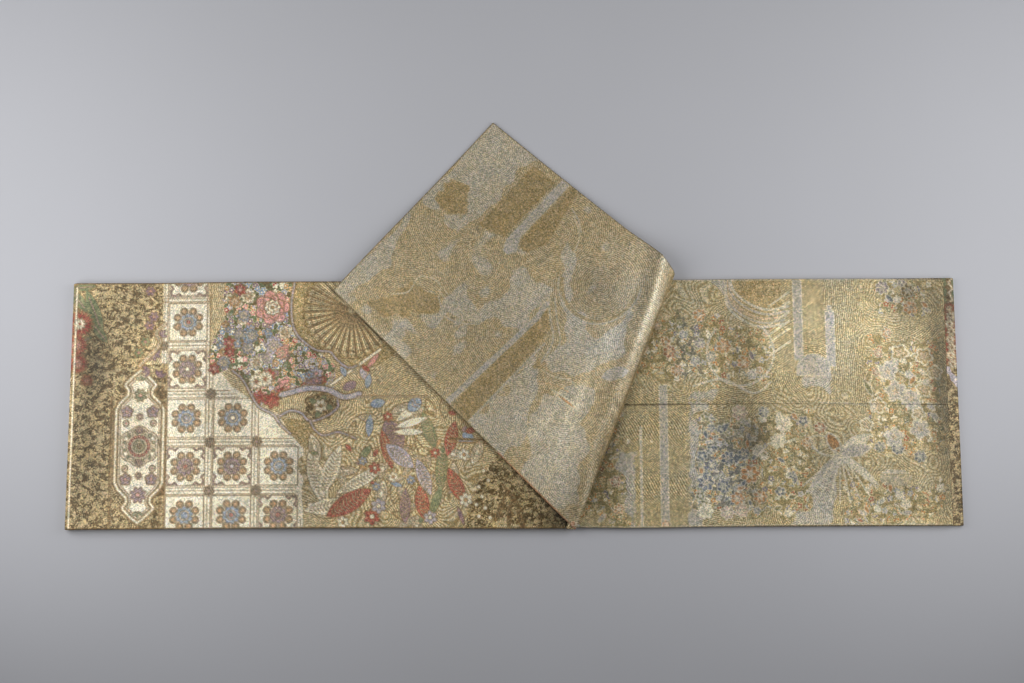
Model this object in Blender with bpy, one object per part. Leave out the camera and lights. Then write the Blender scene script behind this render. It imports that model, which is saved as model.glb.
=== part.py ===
"""Obi sash: a flat tube of gold brocade, book-folded in four and laid on a surface.

The layers are counted from the surface up: 0 and 1 are joined by the mid-length fold at the right,
1 and 2 by the inner fold at the left, 0 and 3 by the outer fold at the left. Layer 2 ends near the
right end. Layer 3 turns over on itself along a soft slanting fold, and lies on top as a flap whose
corner reaches past the stack and down to the surface.

Metres, +X along the sash and +Z up. The origin is the middle of the stack's underside.
"""

import math

import bpy

MM = 0.001

# The woven sash: each layer is a face cloth and a back cloth, joined along both long edges.
CLOTH = 1.2 * MM
GAP = 0.3 * MM
LAYER = 2 * CLOTH + GAP
STEP = LAYER + GAP

# The stack in plan: where its ends lie at the lower and the upper long edge.
LEFT_END = (-557.2 * MM, -555.4 * MM)
MID_FOLD_END = (557.4 * MM, 557.6 * MM)
TAIL_END = (543.2 * MM, 543.9 * MM)
MID_FOLD_COVER = 70 * MM  # how far the face cloth of the mid-length fold runs in from its end
HEM_TUCK = 5 * MM  # how far each cloth runs on past the middle of the left folds

# The long edges, which a hand-laid sash never keeps quite straight.
TOP_EDGES = [
    {"x": -560 * MM, "lower": -154.2 * MM, "upper": 155.6 * MM},
    {"x": -450 * MM, "lower": -154.2 * MM, "upper": 155.2 * MM},
    {"x": -330 * MM, "lower": -153.9 * MM, "upper": 156.4 * MM},
    {"x": -150 * MM, "lower": -154.5 * MM, "upper": 156.0 * MM},
    {"x": -60 * MM, "lower": -155.6 * MM, "upper": 155.8 * MM},
    {"x": 60 * MM, "lower": -156.2 * MM, "upper": 155.8 * MM},
    {"x": 220 * MM, "lower": -156.6 * MM, "upper": 156.0 * MM},
]
UNDER_EDGES = [
    {"x": -560 * MM, "lower": -153.4 * MM, "upper": 154.8 * MM},
    {"x": 60 * MM, "lower": -154.6 * MM, "upper": 155.4 * MM},
    {"x": 145 * MM, "lower": -156.0 * MM, "upper": 155.8 * MM},
    {"x": 300 * MM, "lower": -154.4 * MM, "upper": 156.6 * MM},
    {"x": 430 * MM, "lower": -154.4 * MM, "upper": 156.4 * MM},
    {"x": 545 * MM, "lower": -155.0 * MM, "upper": 155.2 * MM},
]
LOWER_EDGES = [
    {"x": -560 * MM, "lower": -153.6 * MM, "upper": 155.2 * MM},
    {"x": 0 * MM, "lower": -154.2 * MM, "upper": 154.8 * MM},
    {"x": 560 * MM, "lower": -155.2 * MM, "upper": 157.0 * MM},
]

# Low swells, where the upper layers don't lie quite flat on the lower ones.
SWELLS = [
    {"x": -330 * MM, "y": 60 * MM, "along": 130 * MM, "across": 110 * MM, "height": 0.7 * MM},
    {"x": -60 * MM, "y": -90 * MM, "along": 150 * MM, "across": 80 * MM, "height": 0.9 * MM},
    {"x": 300 * MM, "y": 10 * MM, "along": 110 * MM, "across": 150 * MM, "height": 0.6 * MM},
    {"x": 475 * MM, "y": -20 * MM, "along": 75 * MM, "across": 170 * MM, "height": 1.3 * MM},
]

# The flap in plan: its end edge's two corners, and where its long edges meet the slanting fold.
# The nose is the fold's outermost line.
FLAP_END_LOWER = (-226.8 * MM, 144.4 * MM)
FLAP_END_UPPER = (-24.5 * MM, 364.2 * MM)
FLAP_TIP_LOWER = (72.3 * MM, -155.5 * MM)
FLAP_BEND_UPPER = (193.5 * MM, 180.5 * MM)
NOSE_LOWER = (76.4 * MM, -155.6 * MM)
NOSE_UPPER = (205.3 * MM, 164.9 * MM)

# The slanting fold's section from the tight lower end (0) to the open upper end (1): how far its
# crest lies in from the nose, the nose's radius, the slope that the crest's wide curve turns to,
# and how far the flap takes to come down behind the crest. All are of the layer's middle.
FOLD_SECTIONS = [
    {"station": 0.00, "setback": 5.0 * MM, "radius": 2.1 * MM, "slope": 20, "run": 25 * MM},
    {"station": 0.25, "setback": 9.5 * MM, "radius": 3.1 * MM, "slope": 22, "run": 36 * MM},
    {"station": 0.50, "setback": 14.0 * MM, "radius": 4.2 * MM, "slope": 24, "run": 46 * MM},
    {"station": 0.75, "setback": 18.0 * MM, "radius": 5.3 * MM, "slope": 25, "run": 56 * MM},
    {"station": 1.00, "setback": 22.0 * MM, "radius": 6.4 * MM, "slope": 25, "run": 66 * MM},
]
FOLD_TUCK = 9 * MM  # how far the flap's cloths run on under the fold before they meet the top ones

# Past the stack's upper edge the flap comes down to the surface.
DROP_START = 160 * MM
DROP_RUN = 155 * MM

# The hidden layers' solid: the rounding of each layer's long edge, the groove between two layers,
# and the turn of its end inside the mid-length fold.
EDGE_ROUND = 0.5 * MM
EDGE_GROOVE = 2.5 * MM
CORE_TURN = 80

# Mesh fineness
ROWS_ACROSS = 12
FLAP_STEPS = 16
RIDGE_STEPS = 8
CREST_STEPS = 5
NOSE_STEPS = 9
TURN_STEPS = 8
STRETCH_STEP = 55 * MM
LOWER_STEPS = 8
CORE_STEPS = 4
SETTLE_PASSES = 8
SHARP_ANGLE = 40

THREAD_METALLIC = 0.4


def level(layer):
    """Height of a layer's middle."""
    return LAYER / 2 + layer * STEP


def mix(first, last, share):
    return first + (last - first) * share


def mix_points(first, last, share):
    return tuple(mix(a, b, share) for a, b in zip(first, last))


def smooth(share):
    share = min(max(share, 0.0), 1.0)
    return share * share * (3 - 2 * share)


def read_table(rows, key, value, column):
    """A column of a table at any value of its key, with straight runs between rows."""
    if value <= rows[0][key]:
        return rows[0][column]
    for row, following in zip(rows, rows[1:]):
        if value <= following[key]:
            share = (value - row[key]) / (following[key] - row[key])
            return mix(row[column], following[column], share)
    return rows[-1][column]


def swell(x, y):
    """How far the upper layers are lifted off the lower ones."""
    total = 0.0
    for row in SWELLS:
        distance = math.hypot((x - row["x"]) / row["along"], (y - row["y"]) / row["across"])
        total += row["height"] * smooth(1 - distance)
    return total


def edge_y(edges, x, across):
    """Plan position between the long edges: across is 0 at the lower edge and 1 at the upper."""
    lower = read_table(edges, "x", x, "lower")
    upper = read_table(edges, "x", x, "upper")
    return mix(lower, upper, across)


def offset_rows(rows, distance):
    """The grid moved along its own normals: the way from row to row crossed with that along a row."""
    moved = []
    for i, row in enumerate(rows):
        before = rows[max(i - 1, 0)]
        after = rows[min(i + 1, len(rows) - 1)]
        line = []
        for j, point in enumerate(row):
            along = [b - a for a, b in zip(before[j], after[j])]
            across = [
                b - a
                for a, b in zip(row[max(j - 1, 0)], row[min(j + 1, len(row) - 1)])
            ]
            normal = (
                along[1] * across[2] - along[2] * across[1],
                along[2] * across[0] - along[0] * across[2],
                along[0] * across[1] - along[1] * across[0],
            )
            length = math.sqrt(sum(n * n for n in normal))
            line.append(tuple(p + distance * n / length for p, n in zip(point, normal)))
        moved.append(line)
    return moved


def fabric(name, colour, roughness):
    material = bpy.data.materials.new(name)
    material.use_nodes = True
    shader = material.node_tree.nodes["Principled BSDF"]
    linear = [((c / 255 + 0.055) / 1.055) ** 2.4 for c in colour]
    shader.inputs["Base Color"].default_value = (*linear, 1)
    shader.inputs["Roughness"].default_value = roughness
    shader.inputs["Metallic"].default_value = THREAD_METALLIC
    return material


def add_object(name, points, faces, material):
    mesh = bpy.data.meshes.new(name)
    mesh.from_pydata(points, [], faces)
    mesh.materials.append(material)
    mesh.shade_smooth()
    mesh.set_sharp_from_angle(angle=math.radians(SHARP_ANGLE))
    piece = bpy.data.objects.new(name, mesh)
    bpy.context.collection.objects.link(piece)
    return piece


def cloth_wall(name, middle, near, far, material):
    """A closed wall between two offsets of the layer's middle; far is the greater offset."""
    sheets = [offset_rows(middle, near), offset_rows(middle, far)]
    rows, columns = len(middle), len(middle[0])
    points = [point for sheet in sheets for row in sheet for point in row]

    def at(sheet, i, j):
        return (sheet * rows + i) * columns + j

    faces = []
    for i in range(rows - 1):
        for j in range(columns - 1):
            faces.append((at(0, i, j), at(0, i, j + 1), at(0, i + 1, j + 1), at(0, i + 1, j)))
            faces.append((at(1, i, j), at(1, i + 1, j), at(1, i + 1, j + 1), at(1, i, j + 1)))
    for i in range(rows - 1):
        faces.append((at(0, i, 0), at(0, i + 1, 0), at(1, i + 1, 0), at(1, i, 0)))
        last = columns - 1
        faces.append((at(0, i, last), at(1, i, last), at(1, i + 1, last), at(0, i + 1, last)))
    for j in range(columns - 1):
        faces.append((at(0, 0, j), at(1, 0, j), at(1, 0, j + 1), at(0, 0, j + 1)))
        last = rows - 1
        faces.append((at(0, last, j), at(0, last, j + 1), at(1, last, j + 1), at(1, last, j)))
    return add_object(name, points, faces, material)


def loft(name, loops, material):
    """A closed solid through loops of equal count, with flat ends."""
    count = len(loops[0])
    points = [point for loop in loops for point in loop]
    faces = [tuple(reversed(range(count)))]
    for i in range(len(loops) - 1):
        for j in range(count):
            k = (j + 1) % count
            start, following = i * count, (i + 1) * count
            faces.append((start + j, start + k, following + k, following + j))
    faces.append(tuple(range((len(loops) - 1) * count, len(loops) * count)))
    return add_object(name, points, faces, material)


# Plan axes of the slanting fold: one along the nose, one square to it and away from the flap.
fold_length = math.dist(NOSE_LOWER, NOSE_UPPER)
FOLD_ALONG = tuple((b - a) / fold_length for a, b in zip(NOSE_LOWER, NOSE_UPPER))
FOLD_OUT = (FOLD_ALONG[1], -FOLD_ALONG[0])
NOSE_OUT = NOSE_LOWER[0] * FOLD_OUT[0] + NOSE_LOWER[1] * FOLD_OUT[1] - LAYER / 2


def fold_to_plan(out, along):
    """Plan position from distances square to the slanting fold and along it."""
    return (
        out * FOLD_OUT[0] + along * FOLD_ALONG[0],
        out * FOLD_OUT[1] + along * FOLD_ALONG[1],
    )


def plan_to_fold(x, y):
    """Distances square to the slanting fold and along it, from a plan position."""
    return (x * FOLD_OUT[0] + y * FOLD_OUT[1], x * FOLD_ALONG[0] + y * FOLD_ALONG[1])


def fold_section(across):
    """The slanting fold's section at a share of the width: its sizes, with the crest's wide radius
    and its height over the top layer's middle worked out from them."""
    section = {
        column: read_table(FOLD_SECTIONS, "station", across, column)
        for column in ("setback", "radius", "slope", "run")
    }
    slope = math.radians(section["slope"])
    nose_width = section["radius"] * (1 - math.sin(slope))
    section["wide_radius"] = (section["setback"] - nose_width) / math.sin(slope)
    crest_drop = section["wide_radius"] * (1 - math.cos(slope))
    section["height"] = crest_drop + section["radius"] * (1 + math.cos(slope))
    return section


def fold_profile(section):
    """The fold's run from the crest round the nose to the top layer: distance out from the nose,
    height over the top layer's middle, and length travelled."""
    slope = math.radians(section["slope"])
    profile = []
    for i in range(CREST_STEPS):
        turn = slope * i / CREST_STEPS
        profile.append(
            {
                "out": -section["setback"] + section["wide_radius"] * math.sin(turn),
                "height": section["height"] - section["wide_radius"] * (1 - math.cos(turn)),
                "length": section["wide_radius"] * turn,
            }
        )
    crest_length = section["wide_radius"] * slope
    for i in range(NOSE_STEPS + 1):
        turn = slope + (math.pi - slope) * i / NOSE_STEPS
        profile.append(
            {
                "out": -section["radius"] * (1 - math.sin(turn)),
                "height": section["radius"] * (1 + math.cos(turn)),
                "length": crest_length + section["radius"] * (turn - slope),
            }
        )
    last = profile[-1]
    profile.append(
        {
            "out": last["out"] - FOLD_TUCK,
            "height": 0.0,
            "length": last["length"] + FOLD_TUCK,
        }
    )
    return profile


def top_end(across):
    """Where the top stretch stops under the slanting fold: a slanting line, in plan."""
    out = NOSE_OUT - fold_section(across)["radius"] - FOLD_TUCK
    x = 0.0
    for _ in range(SETTLE_PASSES):
        y = edge_y(TOP_EDGES, x, across)
        x = (out - y * FOLD_OUT[1]) / FOLD_OUT[0]
    return x, edge_y(TOP_EDGES, x, across)


def flap_height(x, y):
    """Height of the flap's middle: on the stack, then down to the surface past its upper edge."""
    down = smooth((y - DROP_START) / DROP_RUN)
    return mix(level(4) + swell(x, y), level(0), down)


def crest_along(across):
    """How far along the fold its crest is met: its ends lie on the flap's two long edges."""
    met = []
    for section, end, bend in (
        (FOLD_SECTIONS[0], FLAP_END_LOWER, FLAP_TIP_LOWER),
        (FOLD_SECTIONS[-1], FLAP_END_UPPER, FLAP_BEND_UPPER),
    ):
        end_out, end_along = plan_to_fold(*end)
        bend_out, bend_along = plan_to_fold(*bend)
        share = (NOSE_OUT - section["setback"] - end_out) / (bend_out - end_out)
        met.append(mix(end_along, bend_along, share))
    return mix(*met, across)


def flap_rows():
    """The middle of the flap and the slanting fold, from the end edge round to the top stretch."""
    columns = []
    for j in range(ROWS_ACROSS + 1):
        across = j / ROWS_ACROSS
        section = fold_section(across)
        profile = fold_profile(section)
        along = crest_along(across)
        crest = fold_to_plan(NOSE_OUT - section["setback"], along)
        end = mix_points(FLAP_END_LOWER, FLAP_END_UPPER, across)
        length = math.dist(end, crest)
        crest_lift = level(3) + swell(*crest) + section["height"] - flap_height(*crest)
        flat = length - section["run"]
        distances = [flat * i / FLAP_STEPS for i in range(FLAP_STEPS)]
        distances += [flat + section["run"] * i / RIDGE_STEPS for i in range(RIDGE_STEPS)]
        column = []
        for distance in distances:
            x, y = mix_points(end, crest, distance / length)
            rise = smooth(1 - (length - distance) / section["run"])
            column.append((x, y, flap_height(x, y) + crest_lift * rise))
        end_x, end_y = top_end(across)
        end_along = plan_to_fold(end_x, end_y)[1]
        for place in profile:
            share = place["length"] / profile[-1]["length"]
            x, y = fold_to_plan(NOSE_OUT + place["out"], mix(along, end_along, share))
            base = mix(swell(*crest), swell(end_x, end_y), share)
            column.append((x, y, level(3) + base + place["height"]))
        columns.append(column)
    return [list(row) for row in zip(*columns)]


def stretch_row(edges, place):
    """One row across the sash. place(across) gives x and height at a share of the width."""
    row = []
    for j in range(ROWS_ACROSS + 1):
        across = j / ROWS_ACROSS
        x, z = place(across)
        row.append((x, edge_y(edges, x, across), z))
    return row


def left_centre(across):
    """The line that both left folds turn about."""
    return mix(*LEFT_END, across) + (level(3) - level(0) + LAYER) / 2


def left_turn_rows(edges, upper, lower):
    """The rows that bring a layer round its left fold and a little way back under itself."""
    radius = (level(upper) - level(lower)) / 2
    rows = []
    for i in range(TURN_STEPS + 1):
        turn = math.pi * i / TURN_STEPS
        rows.append(
            stretch_row(
                edges,
                lambda across, turn=turn: (
                    left_centre(across) - radius * math.sin(turn),
                    level(lower) + radius * (1 + math.cos(turn)),
                ),
            )
        )
    rows.append(
        stretch_row(edges, lambda across: (left_centre(across) + HEM_TUCK, level(lower)))
    )
    return rows


def flat_rows(edges, layer, right, left):
    """The flat run of a layer, from its right end to its left fold. right and left give x."""
    steps = math.ceil((right(0.5) - left(0.5)) / STRETCH_STEP)
    rows = []
    for i in range(steps):
        share = i / steps

        def place(across, share=share):
            x = mix(right(across), left(across), share)
            return x, level(layer) + swell(x, edge_y(edges, x, across))

        rows.append(stretch_row(edges, place))
    return rows


def top_rows():
    """The middle of the uppermost stretch, from the slanting fold round the left outer fold."""

    def right(across):
        return top_end(across)[0] - GAP / FOLD_OUT[0]

    return flat_rows(TOP_EDGES, 3, right, left_centre) + left_turn_rows(TOP_EDGES, 3, 0)


def under_rows():
    """The middle of the stretch below it, from the tail end round the left inner fold."""

    def right(across):
        return mix(*TAIL_END, across)

    return flat_rows(UNDER_EDGES, 2, right, left_centre) + left_turn_rows(UNDER_EDGES, 2, 1)


def mid_fold_rows():
    """The middle of the mid-length fold at the right end, from its lower layer to its upper."""
    radius = STEP / 2

    def centre(across):
        return mix(*MID_FOLD_END, across) - radius - LAYER / 2

    def start(across):
        return mix(*MID_FOLD_END, across) - MID_FOLD_COVER

    rows = [stretch_row(LOWER_EDGES, lambda across: (start(across), level(0)))]
    for i in range(TURN_STEPS + 1):
        turn = math.pi * i / TURN_STEPS
        rows.append(
            stretch_row(
                LOWER_EDGES,
                lambda across, turn=turn: (
                    centre(across) + radius * math.sin(turn),
                    level(0) + radius * (1 - math.cos(turn)),
                ),
            )
        )
    rows.append(stretch_row(LOWER_EDGES, lambda across: (start(across), level(1))))
    return rows


def layered_side(low, high, layers):
    """Half of a section across the sash, from its underside up: how far each point lies in from the
    long edge, and its height. Each layer has a rounded edge, with a groove between layers."""
    thickness = (high - low - GAP * (layers - 1)) / layers
    side = []
    for layer in range(layers):
        bottom = low + layer * (thickness + GAP)
        side.append((EDGE_ROUND, bottom))
        side.append((0.0, bottom + EDGE_ROUND))
        side.append((0.0, bottom + thickness - EDGE_ROUND))
        side.append((EDGE_ROUND, bottom + thickness))
        if layer < layers - 1:
            side.append((EDGE_GROOVE, bottom + thickness + GAP / 2))
    return side


def lower_folds_loops():
    """Sections of the hidden layers 0 and 1, with a thinner core inside the mid-length fold."""
    top = level(1) + LAYER / 2
    full = layered_side(0.0, top, 2)
    start_low, start_high = CLOTH + GAP, top - CLOTH - GAP
    core_centre = (start_low + start_high) / 2
    core_radius = (start_high - start_low) / 2

    def loop(x_at, side, squeeze=1.0):
        points = []
        for sign in (-1, 1):
            across = 0 if sign < 0 else 1
            x = x_at(across)
            edge = edge_y(LOWER_EDGES, x, across)
            part = []
            for inset, height in side:
                z = core_centre + (height - core_centre) * squeeze
                part.append((x, edge - sign * inset, z))
            points += part if sign > 0 else list(reversed(part))
        return points

    core = [
        (inset, core_centre + (height - core_centre) * core_radius / (top / 2))
        for inset, height in full
    ]

    def left(across):
        return left_centre(across) + HEM_TUCK + GAP

    def right(across):
        return mix(*MID_FOLD_END, across) - MID_FOLD_COVER - GAP

    def nose(across):
        return mix(*MID_FOLD_END, across) - top / 2

    loops = [
        loop(lambda across, i=i: mix(left(across), right(across), i / LOWER_STEPS), full)
        for i in range(LOWER_STEPS + 1)
    ]
    loops.append(loop(right, core))
    for i in range(CORE_STEPS + 1):
        turn = math.radians(CORE_TURN) * i / CORE_STEPS
        loops.append(
            loop(
                lambda across, turn=turn: nose(across) + core_radius * math.sin(turn),
                core,
                math.cos(turn),
            )
        )
    return loops


for old in list(bpy.data.objects):
    bpy.data.objects.remove(old)

face_brocade = fabric("face_brocade", (169, 155, 130), 0.5)
back_brocade = fabric("back_brocade", (157, 146, 118), 0.5)
folded_layers = fabric("folded_layers", (132, 117, 88), 0.6)

# Offsets from a layer's middle: each grid's own normal points to the first or to the second side.
FIRST_SIDE = (GAP / 2, GAP / 2 + CLOTH)
SECOND_SIDE = (-GAP / 2 - CLOTH, -GAP / 2)

top = top_rows()
cloth_wall("top_face_cloth", top, *SECOND_SIDE, face_brocade)
cloth_wall("top_back_cloth", top, *FIRST_SIDE, back_brocade)
under = under_rows()
cloth_wall("under_back_cloth", under, *SECOND_SIDE, back_brocade)
cloth_wall("under_face_cloth", under, *FIRST_SIDE, face_brocade)
flap = flap_rows()
cloth_wall("flap_back_cloth", flap, *FIRST_SIDE, back_brocade)
cloth_wall("flap_face_cloth", flap, *SECOND_SIDE, face_brocade)
cloth_wall("mid_fold_face_cloth", mid_fold_rows(), *SECOND_SIDE, face_brocade)
loft("lower_folds", lower_folds_loops(), folded_layers)
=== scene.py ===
"""Folded obi sash: a flat tube of gold brocade, book-folded in four on a pale surface.

The sections follow the sash as it is folded up: the hidden layers, the mid-length fold, the stretch
that ends at the right, the top stretch, and the end that is turned over as a flap.

Metres in the row frame, +X along the sash and +Z up. Cloth places and designs are in millimetres.
"""

import math

import bmesh
import bpy
import numpy as np
from mathutils import Matrix, Vector


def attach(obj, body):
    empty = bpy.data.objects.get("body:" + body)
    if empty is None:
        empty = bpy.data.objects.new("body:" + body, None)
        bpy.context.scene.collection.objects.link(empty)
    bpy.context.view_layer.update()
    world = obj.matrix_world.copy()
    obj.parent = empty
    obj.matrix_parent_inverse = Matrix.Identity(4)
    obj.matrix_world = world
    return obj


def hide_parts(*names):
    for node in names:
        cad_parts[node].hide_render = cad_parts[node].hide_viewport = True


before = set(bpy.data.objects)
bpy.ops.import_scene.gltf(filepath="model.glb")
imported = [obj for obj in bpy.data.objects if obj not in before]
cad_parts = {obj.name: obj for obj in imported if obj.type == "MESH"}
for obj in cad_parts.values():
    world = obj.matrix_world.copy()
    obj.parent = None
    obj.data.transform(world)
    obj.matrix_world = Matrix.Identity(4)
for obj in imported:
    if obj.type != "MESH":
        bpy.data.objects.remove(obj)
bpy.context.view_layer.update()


# ---- Camera, soft light and floor ------------------------------------------------------------
# A camera high over the table looks down on the sash, tilted a little towards its far edge.
# Two softboxes stand behind it, left and right, and it lies on a sheet of pale seamless paper.

camera_data = bpy.data.cameras.new("camera")
camera_data.lens = 60
camera_data.sensor_width = 36
camera = bpy.data.objects.new("camera", camera_data)
camera.matrix_world = (
    Matrix.Translation((-0.00169, -0.23739, 2.13134))
    @ Matrix.Rotation(math.radians(8.46), 4, "X")
    @ Matrix.Rotation(math.radians(-0.33), 4, "Z")
)
bpy.context.collection.objects.link(camera)
bpy.context.scene.camera = camera
bpy.context.scene.view_settings.view_transform = "Standard"

for light_name, place, aim, power in (
    ("left_softbox", (-0.74, 0.22, 0.64), (-0.02, 0.6, 0), 5.7),
    ("right_softbox", (0.74, 0.22, 0.64), (0.02, 0.6, 0), 5.02),
):
    light_data = bpy.data.lights.new(light_name, "AREA")
    light_data.size = 0.9
    light_data.energy = power
    light = bpy.data.objects.new(light_name, light_data)
    light.location = place
    light.rotation_euler = (Vector(aim) - Vector(place)).to_track_quat("-Z", "Y").to_euler()
    light.visible_camera = False
    bpy.context.collection.objects.link(light)

world = bpy.data.worlds.new("studio")
world.use_nodes = True
world.node_tree.nodes["Background"].inputs["Color"].default_value = (1, 1, 1, 1)
world.node_tree.nodes["Background"].inputs["Strength"].default_value = 0.1
bpy.context.scene.world = world


def linear(hex_colour):
    """An sRGB hex colour as linear RGBA."""
    parts = [int(hex_colour[i : i + 2], 16) / 255 for i in (0, 2, 4)]
    return [c / 12.92 if c <= 0.04045 else ((c + 0.055) / 1.055) ** 2.4 for c in parts] + [1]


def add_node(tree, kind, inputs=(), **settings):
    """Adds a shader node. inputs are values or sockets, in order or by name; returns the node."""
    node = tree.nodes.new("ShaderNode" + kind)
    for setting, value in settings.items():
        setattr(node, setting, value)
    pairs = inputs.items() if isinstance(inputs, dict) else enumerate(inputs)
    for key, value in pairs:
        if value is None:
            continue
        socket = node.inputs[key]
        if isinstance(value, bpy.types.Node):
            value = next(out for out in value.outputs if out.enabled)
        if isinstance(value, bpy.types.NodeSocket):
            tree.links.new(value, socket)
        else:
            socket.default_value = value
    return node


# Seamless paper: matt, uncoated, with a faint cloudiness.
paper = bpy.data.materials.new("seamless_paper")
paper.use_nodes = True
paper_tree = paper.node_tree
paper_shader = paper_tree.nodes["Principled BSDF"]
paper_place = add_node(paper_tree, "TexCoord").outputs["Object"]
paper_cloud = add_node(paper_tree, "TexNoise", {"Vector": paper_place, "Scale": 3, "Detail": 3})
paper_colour = add_node(
    paper_tree,
    "Mix",
    {"Factor": paper_cloud.outputs["Fac"], 6: linear("c6c7cc"), 7: linear("cccdd3")},
    data_type="RGBA",
)
paper_tree.links.new(paper_colour.outputs[2], paper_shader.inputs["Base Color"])
paper_shader.inputs["Roughness"].default_value = 0.75
paper_shader.inputs["Specular IOR Level"].default_value = 0.25

bpy.ops.object.select_all(action="DESELECT")
bpy.ops.mesh.primitive_plane_add(size=14, location=(0, 0, -0.0003))
floor = bpy.context.object
floor.name = "floor"
floor.data.materials.append(paper)


# ---- The two lowest layers -------------------------------------------------------------------
# The sash is one flat tube 4.4 m long: a face cloth and a back cloth of gold brocade, joined along
# both long edges. The first half of it is folded away here, and only its long edges show.

# A layer is two cloths and the gap between them; another gap lies between two layers.
CLOTH = 1.2
GAP = 0.3
LAYER = 2 * CLOTH + GAP
STEP = LAYER + GAP
WIDTH = 311.0
# Both ends of the stack, at its lower and its upper long edge.
LEFT_END = (-557.2, -555.4)
MID_FOLD_END = (557.4, 557.6)
MID_FOLD_COVER = 70
# A stretch's long edges: places along it, then the lower and the upper edge there.
LOWER_EDGES = ((-560, 0, 560), (-153.6, -154.2, -155.2), (155.2, 154.8, 157.0))
# A cloth's edges are rounded, with columns of points this far from them.
EDGE_ROUND = 1.2
EDGE_COLUMNS = (0, 0.1, 0.35, 0.7, 1.2, 2.0)
# Points of a coarse cloth lie this far apart, and so do those of every cloth's inner side, where
# its normal hasn't turned by more than this cosine.
COARSE = 12
LINING_STEP = 14
LINING_TURN = 0.985
UP, DOWN = 1, -1


def level(layer):
    """Height of a layer's middle over the surface."""
    return LAYER / 2 + layer * STEP


def mix(first, last, share):
    """A value part of the way from the first to the last."""
    return first + (last - first) * share


def smooth(share):
    """A share from 0 to 1 that starts and ends gently."""
    share = np.clip(share, 0, 1)
    return share * share * (3 - 2 * share)


def edge_y(edges, x, across):
    """Plan position between the long edges of a stretch, across being mm from the lower edge."""
    places, lower, upper = edges
    return mix(np.interp(x, places, lower), np.interp(x, places, upper), across / WIDTH)


def across_steps(spacing):
    """Places across the width, close together where the long edges are rounded."""
    rim = np.array(EDGE_COLUMNS)
    margin = rim[-1] + spacing / 2
    middle = np.linspace(margin, WIDTH - margin, round((WIDTH - 2 * margin) / spacing) + 1)
    return np.concatenate([rim, middle, WIDTH - rim[::-1]])


def lining_steps(places, normals):
    """Rows kept for the coarse side of a cloth: some way apart, and closer where it turns."""
    keep = [1]
    for i in range(2, len(places) - 2):
        far = places[i] - places[keep[-1]] >= LINING_STEP
        if far or normals[i] @ normals[keep[-1]] < LINING_TURN:
            keep.append(i)
    return np.array(keep + [len(places) - 2])


def cloth_shell(name, middle, cut, side):
    """A closed thin cloth on one side of a layer's middle, with rounded edges. middle and cut are
    grids of points, in mm: where they lie, and where they lie on the flat cloth. side is UP or
    DOWN, as it is at the first row. The inner side is coarser."""
    rows, columns = middle.shape[:2]
    normal = np.cross(np.gradient(middle, axis=0), np.gradient(middle, axis=1))
    normal *= side * np.sign(normal[0, 0, 2]) / np.linalg.norm(normal, axis=2, keepdims=True)
    border = []
    for axis in (0, 1):
        steps = np.linalg.norm(np.diff(middle, axis=axis), axis=2)
        pad = [(0, 0), (0, 0)]
        pad[axis] = (1, 0)
        travelled = np.pad(np.cumsum(steps, axis=axis), pad)
        border += [travelled, np.take(travelled, [-1], axis=axis) - travelled]
    inset = EDGE_ROUND - np.minimum(np.minimum.reduce(border), EDGE_ROUND)
    thickness = GAP / 2 + CLOTH - EDGE_ROUND + np.sqrt(EDGE_ROUND**2 - inset**2)
    outside = middle + normal * thickness[..., None]
    kept_rows = lining_steps(border[0][:, columns // 2], normal[:, columns // 2])
    kept_columns = lining_steps(border[2][rows // 2], normal[rows // 2])
    kept = np.ix_(kept_rows, kept_columns)
    inside = (middle + normal * GAP / 2)[kept]

    def quads(first, height, width):
        at = first + np.arange(height * width).reshape(height, width)
        return np.stack([at[:-1, :-1], at[1:, :-1], at[1:, 1:], at[:-1, 1:]], -1).reshape(-1, 4)

    faces = quads(0, rows, columns).tolist()
    faces += quads(rows * columns, len(kept_rows), len(kept_columns)).tolist()
    rim = [(i, 0) for i in range(rows)] + [(rows - 1, j) for j in range(1, columns)]
    rim += [(i, columns - 1) for i in range(rows - 2, -1, -1)]
    rim += [(0, j) for j in range(columns - 2, 0, -1)]
    near_row = np.abs(kept_rows[None] - np.arange(rows)[:, None]).argmin(1)
    near_column = np.abs(kept_columns[None] - np.arange(columns)[:, None]).argmin(1)
    rim_at = [i * columns + j for i, j in rim]
    lining_at = [
        rows * columns + int(near_row[i]) * len(kept_columns) + int(near_column[j]) for i, j in rim
    ]
    for k in range(len(rim)):
        following = (k + 1) % len(rim)
        face = [rim_at[k], rim_at[following], lining_at[following]]
        if lining_at[k] != lining_at[following]:
            face.append(lining_at[k])
        faces.append(face)

    points = np.concatenate([outside.reshape(-1, 3), inside.reshape(-1, 3)]) / 1000
    mesh = bpy.data.meshes.new(name)
    mesh.from_pydata(points.tolist(), [], faces)
    shaped = bmesh.new()
    shaped.from_mesh(mesh)
    bmesh.ops.recalc_face_normals(shaped, faces=shaped.faces)
    shaped.to_mesh(mesh)
    shaped.free()
    mesh.shade_smooth()
    flat = np.concatenate([cut.reshape(-1, 2), cut[kept].reshape(-1, 2)])
    keep_on_mesh(mesh, "cut", np.column_stack([flat, np.zeros(len(flat))]))
    piece = bpy.data.objects.new(name, mesh)
    bpy.context.collection.objects.link(piece)
    return piece, flat


def keep_on_mesh(mesh, name, values):
    """Three numbers for each vertex, which a material reads by name."""
    attribute = mesh.attributes.new(name, "FLOAT_VECTOR", "POINT")
    attribute.data.foreach_set("vector", values.astype(np.float32).ravel())


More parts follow.
